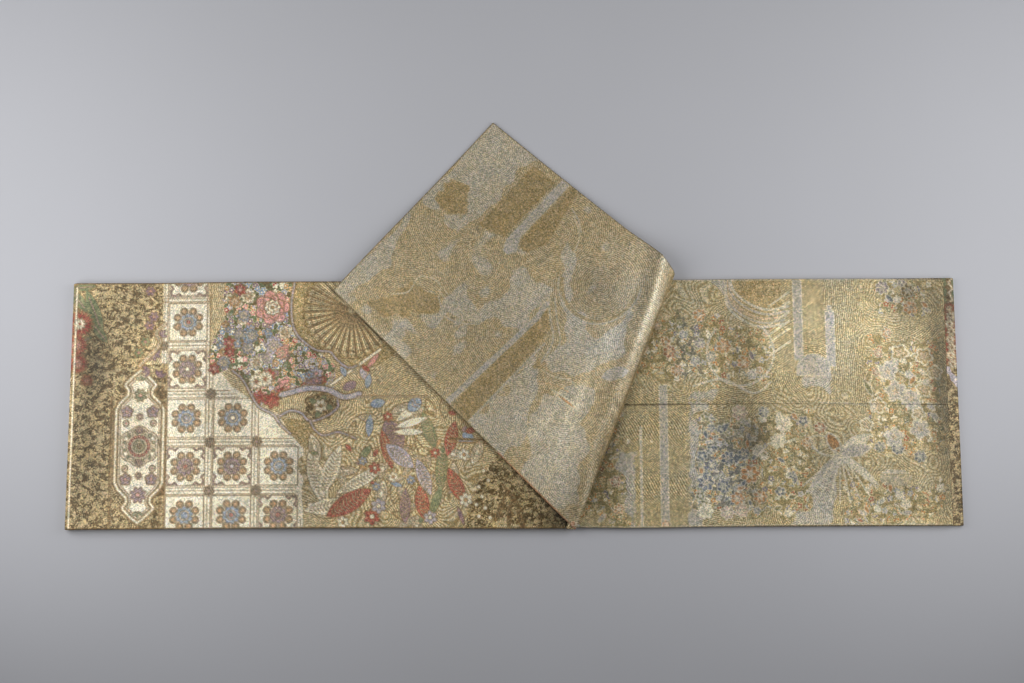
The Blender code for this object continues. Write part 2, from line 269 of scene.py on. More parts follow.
def grid(edges, across, x, z, s):
    """Rows across the sash as grids of places and flat places. x, z and s broadcast to rows."""
    shape = np.broadcast_shapes(np.shape(x), np.shape(z), (1, len(across)))
    x, z, s = (np.broadcast_to(value, shape) for value in (x, z, s))
    t = np.broadcast_to(across, shape)
    return np.stack([x, edge_y(edges, x, t), z], -1), np.stack([s, t - WIDTH / 2], -1)


# What is woven into a cloth, as distances in mm to each colour's shapes, less than 0 inside them.
# Three go together in each vector that the cloth keeps at its vertices. One of the lines holds
# painted light and shade, with some woven tone, as a change in brightness.
DESIGN = {
    "warm": ("red", "pink", "orange"),
    "cool": ("blue", "green", "mauve"),
    "pale": ("cream", "brown", "silver"),
    "grounds": ("foliage", "tiles", "bronze"),
    "areas": ("floral", "scroll", "tint"),
    "lines": ("hatch", "painted_light_and_tone", "crease"),
}
INKS = ("red", "pink", "orange", "blue", "green", "mauve", "brown", "cream", "silver")
LEAF_INKS = ("cream", "silver")
GROUNDS = ("foliage", "tiles", "bronze", "floral", "scroll")
# The distance kept where nothing is woven, in mm.
FAR = 60.0


def blank_design(flat):
    """A cloth with nothing woven in, apart from slanting lines in its gold ground."""
    design = {name: np.full(len(flat), FAR) for names in DESIGN.values() for name in names}
    zero = np.zeros(len(flat))
    return {**design, "flat": flat, "hatch": flat @ (0.6, 0.8), "painted_light_and_tone": zero, "tint": zero.copy()}


def dye(piece, flat, design=None):
    """Keeps a cloth's design at its vertices."""
    design = design or blank_design(flat)
    for group, names in DESIGN.items():
        keep_on_mesh(piece.data, group, np.column_stack([design[name] for name in names]))


# Lengths in a brocade's patterns, in mm: the fine lines of the ground's two golds, the clouds that
# its curling lines flow round, mottled foliage, zones of one colour in the flower beds, and clouds
# of patchy leaf and of hue.
GROUND_LINE = 2.4
CURL_CLOUD = 48
MOTTLE = (9, 7.2)
BED_ZONE = 34
LEAF_CLOUD = 11
HUE_CLOUD = 24
# Weft ribs are 0.4 mm apart on the real cloth, and drawn coarser so that they show.
RIB = 1.1
THREAD_BUMP = 1.6
# How much of the ground the silk covers.
SILK_COVER = 0.92


def brocade(name, palette):
    """Silk brocade with flat metal-leaf threads: satin silk shapes on a ground of gold threads,
    which glint one by one."""
    material = bpy.data.materials.new(name)
    material.use_nodes = True
    tree = material.node_tree
    shader = tree.nodes["Principled BSDF"]
    read = {}
    for group, names in DESIGN.items():
        vector = add_node(tree, "Attribute", attribute_name=group).outputs["Vector"]
        read.update(zip(names, add_node(tree, "SeparateXYZ", (vector,)).outputs))
    cut = add_node(tree, "Attribute", attribute_name="cut").outputs["Vector"]

    # Real leaf threads lie 0.3 mm apart; their glints are drawn 1.25 to 1.4 mm wide, to show.
    thread = {"Vector": cut, "Scale": 1 / palette["thread"]}
    thread = add_node(tree, "TexVoronoi", thread, feature="F1").outputs["Color"]
    glint = add_node(tree, "SeparateColor", (thread,)).outputs
    cloud = add_node(tree, "TexNoise", {"Vector": cut, "Scale": 1 / LEAF_CLOUD, "Detail": 3})

    # The ground's two golds lie in fine lines that follow the shapes woven near them.
    wave = add_node(tree, "Math", (read["hatch"], 2 * math.pi / GROUND_LINE), operation="MULTIPLY")
    wave = add_node(tree, "Math", (wave,), operation="SINE")
    wobble = add_node(tree, "MapRange", (glint[1], 0, 1, -0.7, 0.7))
    wave = add_node(tree, "Math", (wave, wobble), operation="ADD")
    wave = add_node(tree, "MapRange", (wave, -1.0, 1.0))
    speck = add_node(tree, "Math", (cloud.outputs["Fac"], 0.35), operation="MULTIPLY")
    speck = add_node(tree, "Math", (wave, 0.15, speck), operation="MULTIPLY_ADD")
    speck = add_node(tree, "Math", (glint[2], 0.5, speck), operation="MULTIPLY_ADD")
    grainy = add_node(tree, "MapRange", (speck, 0.2, 0.8))

    # Curling lines 2 to 3 mm apart, which flow round loose clouds.
    swirl = {"Vector": cut, "Scale": 1 / CURL_CLOUD, "Detail": 1, "Roughness": 0.4}
    swirl = add_node(tree, "TexNoise", swirl).outputs["Fac"]
    flow = add_node(tree, "Math", (read["hatch"], 1.3), operation="MULTIPLY")
    swirl = add_node(tree, "Math", (swirl, 130, flow), operation="MULTIPLY_ADD")
    swirl = add_node(tree, "Math", (swirl,), operation="SINE")
    swirl = add_node(tree, "Math", (wobble, 0.9, swirl), operation="MULTIPLY_ADD")
    swirl = add_node(tree, "MapRange", (swirl, -1.0, 1.0))

    # Mottled foliage, broken up by the threads and the curling lines.
    leafy = {0: cut, 1: (1 / MOTTLE[0], 1 / MOTTLE[1], 1)}
    leafy = add_node(tree, "VectorMath", leafy, operation="MULTIPLY")
    leafy = {"Vector": leafy, "Scale": 1, "Detail": 4, "Roughness": 0.66, "Distortion": 0.5}
    leafy = add_node(tree, "TexNoise", leafy).outputs["Fac"]
    for lines, amount in ((glint[1], 0.11), (swirl, 0.07)):
        leafy = add_node(tree, "Math", (lines, amount, leafy), operation="MULTIPLY_ADD")
    leafy = add_node(tree, "MapRange", (leafy, 0.53, 0.66))

    colour = None
    for ground, lines in (
        ("gold", wave), ("tiles", wave), ("bronze", grainy), ("foliage", leafy), ("scroll", swirl)
    ):
        shade = {"Factor": lines, 6: linear(palette[ground + "_dark"]), 7: linear(palette[ground])}
        shade = add_node(tree, "Mix", shade, data_type="RGBA")
        if colour:
            mask = (glint[1], palette["fringe"], read[ground])
            mask = add_node(tree, "Math", mask, operation="MULTIPLY_ADD")
            mask = add_node(tree, "MapRange", (mask, 1.0, -1.0))
            shade = {"Factor": mask, 6: colour, 7: shade}
            shade = add_node(tree, "Mix", shade, data_type="RGBA")
        colour = shade

    # Flower beds: small blossoms packed side by side over green and bronze, each of one colour
    # that its place and chance choose.
    bed = {"Vector": cut, "Scale": 1 / palette["blossom"], "Randomness": 0.8}
    bed = add_node(tree, "TexVoronoi", bed, feature="F1", voronoi_dimensions="2D")
    spoke = add_node(tree, "VectorMath", {0: cut, 1: bed.outputs["Position"]}, operation="SUBTRACT")
    away = add_node(tree, "VectorMath", (spoke,), operation="LENGTH").outputs["Value"]
    spoke = add_node(tree, "SeparateXYZ", (spoke,)).outputs
    kind = add_node(tree, "SeparateColor", (bed.outputs["Color"],)).outputs
    turn = add_node(tree, "Math", (spoke[1], spoke[0]), operation="ARCTAN2")
    spin = add_node(tree, "Math", (kind[1], 3), operation="MULTIPLY")
    lobe = add_node(tree, "Math", (turn, 2.5, spin), operation="MULTIPLY_ADD")
    for operation in ("COSINE", "ABSOLUTE"):
        lobe = add_node(tree, "Math", (lobe,), operation=operation)
    lobe = (lobe, 0, 1, 0.28 * palette["blossom"], 0.5 * palette["blossom"])
    lobe = add_node(tree, "MapRange", lobe)
    rim = add_node(tree, "Math", (away, lobe), operation="SUBTRACT")
    zone = add_node(tree, "TexNoise", {"Vector": cut, "Scale": 1 / BED_ZONE, "Detail": 1})
    zone = add_node(tree, "MapRange", (zone.outputs["Fac"], 0.36, 0.64))
    zone = add_node(tree, "Math", (zone, 0.55), operation="MULTIPLY")
    choice = add_node(tree, "Math", (kind[0], 0.45, zone), operation="MULTIPLY_ADD")
    ramp = add_node(tree, "ValToRGB", (choice,))
    stops, bed_inks = ramp.color_ramp.elements, palette["bed"].split()
    ramp.color_ramp.interpolation = "CONSTANT"
    stops.remove(stops[1])
    for k, ink in enumerate(bed_inks):
        stop = stops.new(k / len(bed_inks)) if k else stops[0]
        stop.position, stop.color = k / len(bed_inks), linear(palette[ink])
    petal = add_node(tree, "MapRange", (rim, 0.3, -0.3))
    stitch = add_node(tree, "Math", (rim,), operation="ABSOLUTE")
    stitch = add_node(tree, "MapRange", (stitch, 0.75, 0.3, 0, 0.65))
    heart = add_node(tree, "MapRange", (away, 1.5, 1.0))
    shady = add_node(tree, "MapRange", (read["tint"], 0.1, 1, 0, 0.75))
    flowers = linear(palette["bed_dark"])
    for mask, shade in (
        (leafy, linear(palette["bed_leaf"])),
        (shady, linear(palette["blue"])),
        (petal, ramp),
        (stitch, linear(palette["stitch"])),
        (heart, linear(palette["stitch"])),
    ):
        flowers = {"Factor": mask, 6: flowers, 7: shade}
        flowers = add_node(tree, "Mix", flowers, data_type="RGBA")
    mask = add_node(tree, "MapRange", (read["floral"], 1.0, -1.0))
    colour = add_node(tree, "Mix", {"Factor": mask, 6: colour, 7: flowers}, data_type="RGBA")

    # The ground's threads show in lines between the silk ones.
    between = add_node(tree, "MapRange", (wave, 0, 1, SILK_COVER, SILK_COVER - 0.3))
    silk = edge = None
    for ink in INKS:
        mask = add_node(tree, "MapRange", (read[ink], 0.5, -0.4))
        mask = add_node(tree, "Math", (mask, between), operation="MULTIPLY")
        colour = {"Factor": mask, 6: colour, 7: linear(palette[ink])}
        colour = add_node(tree, "Mix", colour, data_type="RGBA")
        size = add_node(tree, "Math", (read[ink],), operation="ABSOLUTE")
        edge = add_node(tree, "Math", (edge, size), operation="MINIMUM") if edge else size
        if ink not in LEAF_INKS:
            silk = add_node(tree, "Math", (silk, mask), operation="MAXIMUM") if silk else mask
    edge = add_node(tree, "MapRange", (edge, 1.1, 0.5, 0, palette["drawn"]))
    colour = {"Factor": edge, 6: colour, 7: linear(palette["outline"])}
    colour = add_node(tree, "Mix", colour, data_type="RGBA")
    metal = add_node(tree, "MapRange", (silk, 0, 1, 1.0, 0.1))

    # Each thread catches the light a little differently, and the leaf is patchy over a few cm. The
    # design's painted light and shade, with some woven tone, brighten or darken the cloth, and a
    # pressed crease is darkened as painted shade.
    bright = (glint[0], 0, 1, 1 - palette["glint"], 1 + palette["glint"])
    bright = add_node(tree, "MapRange", bright)
    patch = add_node(tree, "MapRange", (cloud.outputs["Fac"], 0.3, 0.7, 0.92, 1.08))
    gain = add_node(tree, "Math", (read["painted_light_and_tone"], 1.0), operation="ADD")
    crease = add_node(tree, "Math", (read["crease"],), operation="ABSOLUTE")
    crease = add_node(tree, "MapRange", (crease, 0.4, 1.7))
    crease_shade = add_node(tree, "MapRange", (crease, 0, 1, 0.46, 1.0))
    for factor in (patch, gain, crease_shade):
        bright = add_node(tree, "Math", (bright, factor), operation="MULTIPLY")
    shaded = add_node(tree, "VectorMath", {0: colour, "Scale": bright}, operation="SCALE")

    # Threads differ a little in hue, and so does the cloth over a few centimetres.
    hue = {0: thread, 1: (0.2, 0.1, 0.26), 2: (0.9, 0.95, 0.87)}
    hue = add_node(tree, "VectorMath", hue, operation="MULTIPLY_ADD")
    tint = add_node(tree, "TexNoise", {"Vector": cut, "Scale": 1 / HUE_CLOUD, "Detail": 2})
    tint = add_node(tree, "MapRange", (tint.outputs["Fac"], 0.3, 0.7, -0.5, 0.5))
    tint = add_node(tree, "Math", (tint, read["tint"]), operation="ADD")
    tint = add_node(tree, "VectorMath", {0: (-0.05, 0.0, 0.13), "Scale": tint}, operation="SCALE")
    tint = add_node(tree, "VectorMath", {0: tint, 1: (1, 1, 1)}, operation="ADD")
    for factor in (hue, tint):
        shaded = add_node(tree, "VectorMath", {0: shaded, 1: factor}, operation="MULTIPLY")

    # Weft ribs, pressed creases and the threads' slight unevenness, with heights in mm. Silk is
    # duller than the metal leaf.
    along = add_node(tree, "SeparateXYZ", (cut,)).outputs["X"]
    rib = add_node(tree, "Math", (along, 2 * math.pi / RIB), operation="MULTIPLY")
    rib = add_node(tree, "Math", (rib,), operation="SINE")
    uneven = add_node(tree, "TexNoise", {"Vector": cut, "Scale": 1 / THREAD_BUMP, "Detail": 1})
    height = add_node(tree, "Math", (uneven, 0.14), operation="MULTIPLY")
    for relief, amount in ((rib, 0.012), (crease, 0.4)):
        height = add_node(tree, "Math", (relief, amount, height), operation="MULTIPLY_ADD")
    rough = add_node(tree, "MapRange", (glint[2], 0, 1, -0.1, 0.1))
    dull = add_node(tree, "MapRange", (metal, 0, 1, 0.62, 0.42))
    bump = add_node(tree, "Bump", {"Strength": 1, "Distance": 0.001, "Height": height})
    for socket, value in (
        ("Base Color", shaded.outputs["Vector"]),
        ("Metallic", add_node(tree, "Math", (metal, 0.3), operation="MULTIPLY").outputs[0]),
        ("Roughness", add_node(tree, "Math", (rough, dull), operation="ADD").outputs[0]),
        ("Normal", bump.outputs["Normal"]),
    ):
        tree.links.new(value, shader.inputs[socket])
    return material


# Washed gold leaf on brown lacquered paper thread, as in the cloths' ground. The colours are those
# of the face, of the back, where the leaf shows silver between its gold and the silks only
# faintly, and of the plainer end, with wide bars of smooth gold and silver leaf.
BACK_BED = "orange mid red bronze silver green mid orange mid bronze cream mid mauve silver mid"
PALETTES = {
    "gold": ("dccba2", "d3c49b", "cfbf9b"),
    "gold_dark": ("9c8456", "907d4f", "a38f66"),
    "tiles": ("f6edd5", "cbc5b2", "d0c7ae"),
    "tiles_dark": ("e0d4b4", "a69c86", "aca088"),
    "bronze": ("d0b987", "ccb786", "b9a479"),
    "bronze_dark": ("84703f", "8a764a", "a08c61"),
    "foliage": ("bfaa7e", "c4b184", "c4b184"),
    "foliage_dark": ("625132", "6e5e3e", "6e5e3e"),
    "scroll": ("dccba3", "cfc19a", "d8cdb0"),
    "scroll_dark": ("a08a5c", "9f8d60", "a38d62"),
    "outline": ("8a714a", "e0d6b8", "c4b894"),
    "bed_dark": ("6e5e3c", "a08d5e", "a08d5e"),
    "bed_leaf": ("74805c", "988c60", "988c60"),
    "mid": ("b9a778", "b9a778", "b9a778"),
    "stitch": ("dccdaa", "cfc29c", "cfc29c"),
    "red": ("a4463e", "a9714f", "a9714f"),
    "pink": ("dc9c92", "c9b09c", "c9b09c"),
    "orange": ("c09460", "c18c54", "c18c54"),
    "blue": ("8c9fb2", "68727a", "68727a"),
    "green": ("74805c", "8a865c", "8a865c"),
    "mauve": ("8a6e78", "8c8284", "8c8284"),
    "brown": ("604a2a", "8a7446", "6e5a38"),
    "cream": ("f2e9cc", "e4dabc", "ddd4ba"),
    "silver": ("b4aeb4", "b9b3a6", "bcb6a8"),
    # Blossoms of the flower beds: their colours by chance, and their distance apart in mm.
    "bed": ("blue blue cream blue mauve silver orange pink red cream", BACK_BED, BACK_BED),
    "blossom": (8.5, 9, 9),
    # A thread's width in mm, how much threads differ, how strong outlines are, and how far the
    # threads fray a ground's edge, in mm.
    "thread": (1.4, 1.4, 1.25),
    "glint": (0.38, 0.42, 0.4),
    "drawn": (0.55, 0.5, 0.3),
    "fringe": (0.8, 2.5, 1.5),
}
FACE_PALETTE, BACK_PALETTE, END_PALETTE = (
    {name: values[k] for name, values in PALETTES.items()} for k in range(3)
)
lower_face_brocade = brocade("lower_face_brocade", FACE_PALETTE)
lower_back_brocade = brocade("lower_back_brocade", BACK_PALETTE)


def left_centre(across):
    """The line that the left folds turn about."""
    return mix(*LEFT_END, across / WIDTH) + (level(3) - level(0) + LAYER) / 2


def weave_in(cloth, ink, shape, centre=(0, 0), reach=900, turn=0.0, ragged=None):
    """Weaves a shape in one colour over what is there. The shape takes places from its centre, in
    mm, and gives its distance. ragged, a size, a depth and a seed, lets its edge wander."""
    x, y = (cloth["flat"] - centre).T
    near = np.flatnonzero((np.abs(x) < reach + 3) & (np.abs(y) < reach + 3))
    x, y = x[near], y[near]
    cosine, sine = math.cos(turn), math.sin(turn)
    distance = shape(x * cosine + y * sine, y * cosine - x * sine)
    if ragged:
        size, depth, seed = ragged
        distance = distance + depth * cloudy(cloth["flat"][near], size, seed)
    for other in INKS if ink in INKS else GROUNDS:
        if other != ink:
            cloth[other][near] = np.maximum(cloth[other][near], -distance)
    cloth[ink][near] = np.minimum(cloth[ink][near], distance)


def disc(radius):
    """A round shape."""
    return lambda x, y: np.hypot(x, y) - radius


def drawn(shape, width, offset=0.0):
    """A shape's outline as a line, drawn this far outside its edge."""
    return lambda x, y: np.abs(shape(x, y) - offset) - width / 2


def ring(radius, width):
    """A circle drawn as a line."""
    return drawn(disc(radius), width)


def within(shape, limit):
    """The part of a shape that lies inside another."""
    return lambda x, y: np.maximum(shape(x, y), limit(x, y))


def scallops(radius, count, depth):
    """A round shape with so many rounded lobes."""
    return lambda x, y: np.hypot(x, y) - radius * (
        1 - depth * (1 - np.abs(np.cos(count / 2 * np.arctan2(y, x))))
    )


def petals(count, inner, outer, half_width):
    """Oval petals round a centre."""
    part, middle, half = 2 * math.pi / count, (inner + outer) / 2, (outer - inner) / 2

    def shape(x, y):
        angle = (np.arctan2(y, x) + part / 2) % part - part / 2
        away = np.hypot(x, y)
        u, v = away * np.cos(angle) - middle, away * np.sin(angle)
        return (np.hypot(u / half, v / half_width) - 1) * min(half, half_width)

    return shape


def leaf(length, half_width):
    """A leaf with two pointed ends, along x."""
    radius = (length**2 / 4 + half_width**2) / (2 * half_width)
    return lambda x, y: np.hypot(x, np.abs(y) + radius - half_width) - radius


def line(points, width):
    """A line of one width through points."""

    def shape(x, y):
        nearest = np.full(len(x), 1e3)
        for (x0, y0), (x1, y1) in zip(points, points[1:]):
            dx, dy = x1 - x0, y1 - y0
            share = ((x - x0) * dx + (y - y0) * dy) / max(dx * dx + dy * dy, 1e-9)
            share = np.clip(share, 0, 1)
            nearest = np.minimum(nearest, np.hypot(x - x0 - share * dx, y - y0 - share * dy))
        return nearest - width / 2

    return shape


def field(points):
    """The inside of an outline."""
    closed = list(points) + [points[0]]

    def shape(x, y):
        inside = np.zeros(len(x), bool)
        for (x0, y0), (x1, y1) in zip(closed, closed[1:]):
            if y0 != y1:
                crosses = (y0 > y) != (y1 > y)
                inside ^= crosses & (x < (x1 - x0) * (y - y0) / (y1 - y0) + x0)
        distance = line(closed, 0)(x, y)
        return np.where(inside, -distance, distance)

    return shape


def box(left, right, bottom, top):
    """An upright rectangle."""
    return field([(left, bottom), (right, bottom), (right, top), (left, top)])


def curved(points):
    """Six times as many points, along a smooth curve through the given ones."""
    steps = 6
    ends = [points[0], *points, points[-1]]
    smoothed = []
    for a, b, c, d in zip(ends, ends[1:], ends[2:], ends[3:]):
        a, b, c, d = map(np.array, (a, b, c, d))
        square, cube = 2 * a - 5 * b + 4 * c - d, 3 * b - a - 3 * c + d
        for k in range(steps):
            u = k / steps
            smoothed.append((2 * b + (c - a) * u + square * u**2 + cube * u**3) / 2)
    return [tuple(point) for point in smoothed] + [tuple(points[-1])]


def ray(angle, inner, outer):
    """Both ends of a line outwards from a centre."""
    return [(away * math.cos(angle), away * math.sin(angle)) for away in (inner, outer)]


def beside(place, angle, away):
    """A place some way from another."""
    return place[0] + away * math.cos(angle), place[1] + away * math.sin(angle)


def cloudy(flat, size, seed):
    """Smooth unevenness from -1 to 1, in clouds of so many mm."""
    count = 64
    lattice = np.random.default_rng(seed).uniform(-1, 1, (count, count))
    place = flat / size + 5 * count
    low = np.floor(place).astype(int)
    u, v = smooth(place - low).T
    (i, j), (i1, j1) = (low % count).T, ((low + 1) % count).T
    return mix(mix(lattice[i, j], lattice[i1, j], u), mix(lattice[i, j1], lattice[i1, j1], u), v)


def lighten(cloth, *rows):
    """Paints soft spots of light and shade, and some of lighter or darker tone, into the colour:
    amount, centre, spread and any turn.
    """
    for amount, x0, y0, along, aside, *turned in rows:
        turn = sum(turned)
        x, y = (cloth["flat"] - (x0, y0)).T
        cosine, sine = math.cos(turn), math.sin(turn)
        away = np.hypot((x * cosine + y * sine) / along, (y * cosine - x * sine) / aside)
        cloth["painted_light_and_tone"] = cloth["painted_light_and_tone"] + amount * smooth(1 - away)


def lines_round(cloth, centres):
    """Lets the ground's fine lines run round these places, like ripples."""
    away = np.full(len(cloth["flat"]), 1e3)
    for x0, y0 in centres:
        away = np.minimum(away, np.hypot(*(cloth["flat"] - (x0, y0)).T))
    cloth["hatch"] = away


def blossom(cloth, centre, radius, ink, heart="cream", count=5, turn=0.0):
    """A small open flower."""
    shape = petals(count, 0.1 * radius, radius, 1.9 * radius / count)
    weave_in(cloth, ink, shape, centre, radius, turn)
    weave_in(cloth, heart, disc(0.27 * radius), centre, radius)


def chrysanthemum(cloth, centre, radius, ink, heart="cream"):
    """A flower with two rounds of narrow petals."""
    for outer, count, turn in ((1, 18, 0), (0.76, 14, 0.2)):
        size = outer * radius
        shape = petals(count, 0.2 * size, size, 2.5 * size / count)
        weave_in(cloth, ink, shape, centre, radius, turn)
    weave_in(cloth, heart, petals(10, 0, 0.46 * radius, 0.09 * radius), centre, radius)
    weave_in(cloth, ink, disc(0.1 * radius), centre, radius)


def sprig(cloth, centre, length, ink, turn):
    """Three leaves that spread from one place."""
    for angle in (turn - 0.7, turn, turn + 0.7):
        middle = beside(centre, angle, 0.5 * length)
        weave_in(cloth, ink, leaf(length, 0.2 * length), middle, length, angle)


def leaves(cloth, *rows):
    """Leaves one by one: colour, middle, length, half width and turn."""
    for ink, x0, y0, length, half_width, turn in rows:
        weave_in(cloth, ink, leaf(length, half_width), (x0, y0), length, turn)


def patches(cloth, ink, outlines, size, depth, seed):
    """Fields with ragged edges in one colour, each uneven in its own way."""
    for k, outline in enumerate(outlines):
        weave_in(cloth, ink, field(outline), ragged=(size, depth, seed + k))


# How far inside the left folds' centre a hidden layer ends.
LOWER_INSET = 5.3


def lower_stretch(name, layer, side, material, spacing=COARSE, rows=44):
    """One cloth of a hidden layer, flat from the left folds to the mid-length fold."""
    across = across_steps(spacing)
    share = np.linspace(0, 1, rows)[:, None]
    left = left_centre(across) + LOWER_INSET
    right = mix(*MID_FOLD_END, across / WIDTH) - MID_FOLD_COVER - GAP
    x = mix(right, left, share)
    piece, flat = cloth_shell(name, *grid(LOWER_EDGES, across, x, level(layer), x), side)
    piece.data.materials.append(material)
    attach(piece, "root")
    return piece, flat


first_face, flat = lower_stretch(
    "first_layer_face_cloth", 0, DOWN, lower_face_brocade, spacing=4, rows=262
)
# The underside's design: gardens and silver water between flower beds, large flowers with three
# leaves each, and lines between the fields.
cloth = blank_design(flat)
LEFT_BANK = [(-470, -160), (-440, -60), (-452, 40), (-430, 160)]
STREAM = [(-400, -160), (-372, -30), (-392, 160)]
LOW_BED = [(-392, -90), (-300, -60), (-180, -96), (-120, -160)]
HIGH_BED = [(-200, 160), (-150, 20), (-60, 60), (20, 20), (60, 160)]
MIDDLE_BED = [(-40, -160), (-20, -60), (80, -20), (190, -70), (210, -160)]
RIGHT_BANK = [(300, -40), (420, -10), (500, -40)]
for k, (ground, outline) in enumerate((
    ("foliage", [(-560, -160), *LEFT_BANK, (-560, 160)]),
    ("tiles", LEFT_BANK[::-1] + STREAM),
    ("floral", [*STREAM[:0:-1], *LOW_BED[:-1], *HIGH_BED[1::-1]]),
    ("scroll", [(-400, -160), *LOW_BED]),
    ("bronze", HIGH_BED),
    ("floral", MIDDLE_BED),
    ("scroll", [(60, 160), (20, 20), *MIDDLE_BED[2:4], (260, 20), (240, 160)]),
    ("tiles", [(210, -160), (190, -70), (260, 20), (300, -40), (290, -160)]),
    ("foliage", [(240, 160), (260, 20), *RIGHT_BANK[:2], (500, 40), (500, 160)]),
    ("floral", [(290, -160), *RIGHT_BANK, (500, -160)]),
)):
    weave_in(cloth, ground, field(outline), ragged=(40, 10, 60 + k))
for points, ink in (
    (LEFT_BANK, "silver"), (STREAM, "silver"), (LOW_BED, "mauve"), (HIGH_BED, "cream"),
    (MIDDLE_BED, "silver"), ([(240, 160), (260, 20), (300, -40), (290, -160)], "mauve"),
    (RIGHT_BANK, "cream"),
):
    weave_in(cloth, ink, line(curved(points), 5))
for x0, y0, radius, ink, heart in (
    (-330, 70, 30, "red", "cream"), (-250, 20, 24, "blue", "cream"),
    (-282, 112, 20, "cream", "orange"), (-90, 100, 28, "pink", "red"),
    (-20, 112, 20, "mauve", "cream"), (-110, -60, 26, "mauve", "pink"),
    (60, -100, 32, "red", "pink"), (130, -120, 22, "blue", "cream"),
    (10, -118, 20, "cream", "orange"), (150, 70, 30, "cream", "red"),
    (350, -100, 30, "pink", "cream"), (420, -60, 24, "blue", "cream"),
    (372, 90, 32, "red", "cream"), (446, 116, 22, "pink", "red"), (-506, 80, 28, "red", "cream"),
    (-516, -70, 24, "cream", "orange"), (-230, -130, 18, "orange", "cream"),
    (-330, -120, 18, "blue", "cream"),
):
    weave_in(cloth, ink, scallops(radius, 8, 0.28), (x0, y0), radius)
    weave_in(cloth, heart, scallops(0.5 * radius, 6, 0.25), (x0, y0), radius, x0)
    weave_in(cloth, ink, disc(0.2 * radius), (x0, y0), radius)
    for turn in (x0, x0 + 2.1, x0 + 4.2):
        place = beside((x0, y0), turn, 1.3 * radius)
        weave_in(cloth, "green", leaf(radius, 0.24 * radius), place, radius, turn + 0.5)
lines_round(cloth, [
    (-330, 70), (-90, 100), (60, -100), (150, 70), (350, -100), (372, 90), (-506, 80), (-516, -70),
    (-230, -130), (-110, -60),
])
# A pressed crease along the underside, darkened as painted shade, and light and dark bands painted
# where soft ridges would catch and lose the light.
cloth["crease"] = flat[:, 1] + 3 + 0.004 * flat[:, 0]
lighten(
    cloth,
    (-0.12, -380, 60, 16, 190, 0.4), (-0.1, 40, 40, 14, 200, -0.3), (0.1, 70, 30, 16, 200, -0.3),
    (0.1, -350, 50, 14, 190, 0.4), (-0.1, 320, -40, 18, 180, 0.6),
)
dye(first_face, flat, cloth)
for name, layer, side, material in (
    ("first_layer_back_cloth", 0, UP, lower_back_brocade),
    ("second_layer_back_cloth", 1, DOWN, lower_back_brocade),
    ("second_layer_face_cloth", 1, UP, lower_face_brocade),
):
    piece, piece_flat = lower_stretch(name, layer, side, material)
    dye(piece, piece_flat)
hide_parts("lower_folds")


# ---- The mid-length fold ---------------------------------------------------------------------
# At half its length the sash is folded back on itself, so the two lowest layers are joined at the
# right end. The face cloth goes round the outside of the fold, and the back cloth inside it.


def mid_fold_cloth(name, side, material, fine):
    """One cloth round the fold, and a little way back over the two layers that it joins."""
    across = across_steps(1.8 if fine else COARSE)
    radius = STEP / 2
    end = mix(*MID_FOLD_END, across / WIDTH)
    centre, start = end - radius - LAYER / 2, end - MID_FOLD_COVER
    below = mix(start, centre, np.linspace(0, 1, 8)[:-1, None])
    turn = np.linspace(0, math.pi, 13)[:, None]
    shares = np.concatenate([np.linspace(0, 0.3, 13), np.linspace(0.4, 1, 6)])
    above = mix(centre, start, shares[1:, None])
    x = np.concatenate([below, centre + radius * np.sin(turn), above])
    rise = level(0) + radius * (1 - np.cos(turn)) + 0 * across
    z = np.concatenate([np.full_like(below, level(0)), rise, np.full_like(above, level(1))])
    arc = math.pi * radius
    s = np.concatenate([2 * centre + arc - below, centre + arc - radius * turn, above])
    piece, flat = cloth_shell(name, *grid(LOWER_EDGES, across, x, z, s), side)
    piece.data.materials.append(material)
    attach(piece, "root")
    return piece, flat


dye(*mid_fold_cloth("mid_fold_back_cloth", UP, lower_back_brocade, False))
mid_fold, flat = mid_fold_cloth("mid_fold_face", DOWN, lower_face_brocade, True)
# On the strip that shows: four red chrysanthemums in foliage, and a few pale leaves.
cloth = blank_design(flat)
weave_in(cloth, "foliage", box(480, 580, -160, 160))
weave_in(cloth, "green", box(540, 580, 120, 160), ragged=(9, 4, 1))
for y, turn in ((152, 1.0), (146, 2.2), (139, 0.7), (132, 1.9), (126, 0.5)):
    weave_in(cloth, "brown", leaf(12, 2.2), (551, y - 2), 8, turn + 1)
    weave_in(cloth, "cream", leaf(13, 1.3), (553, y), 8, turn)
for y, radius in ((116, 9), (97, 14), (77, 13), (57, 14)):
    chrysanthemum(cloth, (550, y), radius, "red")
for y in (107, 87, 67, 46):
    weave_in(cloth, "cream", petals(7, 1, 6.5, 1.3), (552, y), 8, 0.1 * y)
    weave_in(cloth, "brown", disc(1.6), (552, y), 3)
weave_in(cloth, "silver", line([(545, 40), (560, 16)], 6), ragged=(5, 3, 2))
# Painted shade over the strip's lower part and its top end, and a painted highlight along the
# fold's rounded edge.
lighten(
    cloth,
    (-0.2, 550, -60, 60, 160),
    (-0.55, 550, 110, 12, 70),
    (0.44, 556.5, 0, 3.5, 150),
)
dye(mid_fold, flat, cloth)
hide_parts("mid_fold_face_cloth")


# ---- The stretch that ends at the right ------------------------------------------------------
# The third layer, back cloth up: it comes from the inner fold at the left and stops near the right
# end, where the tube's end is closed by hand. Its right half lies open to view.

# The tail end, at its lower and its upper long edge, and how far the stretch shows from it.
TAIL_END = (543.2, 543.9)
UNDER_SHOWN = 483
UNDER_EDGES = (
    (-560, 60, 145, 300, 430, 545),
    (-153.4, -154.6, -156.0, -154.4, -154.4, -155.0),
    (154.8, 155.4, 155.8, 156.6, 156.4, 155.2),
)
# Steps of a cloth's turn round the left folds.
TURN_STEPS = 12
# Low swells of the upper layers: place, half length both ways, and height.
SWELLS = (
    (-330, 60, 130, 110, 0.7), (-60, -90, 150, 80, 0.9), (300, 10, 110, 150, 0.6),
    (475, -20, 75, 170, 1.3),
)
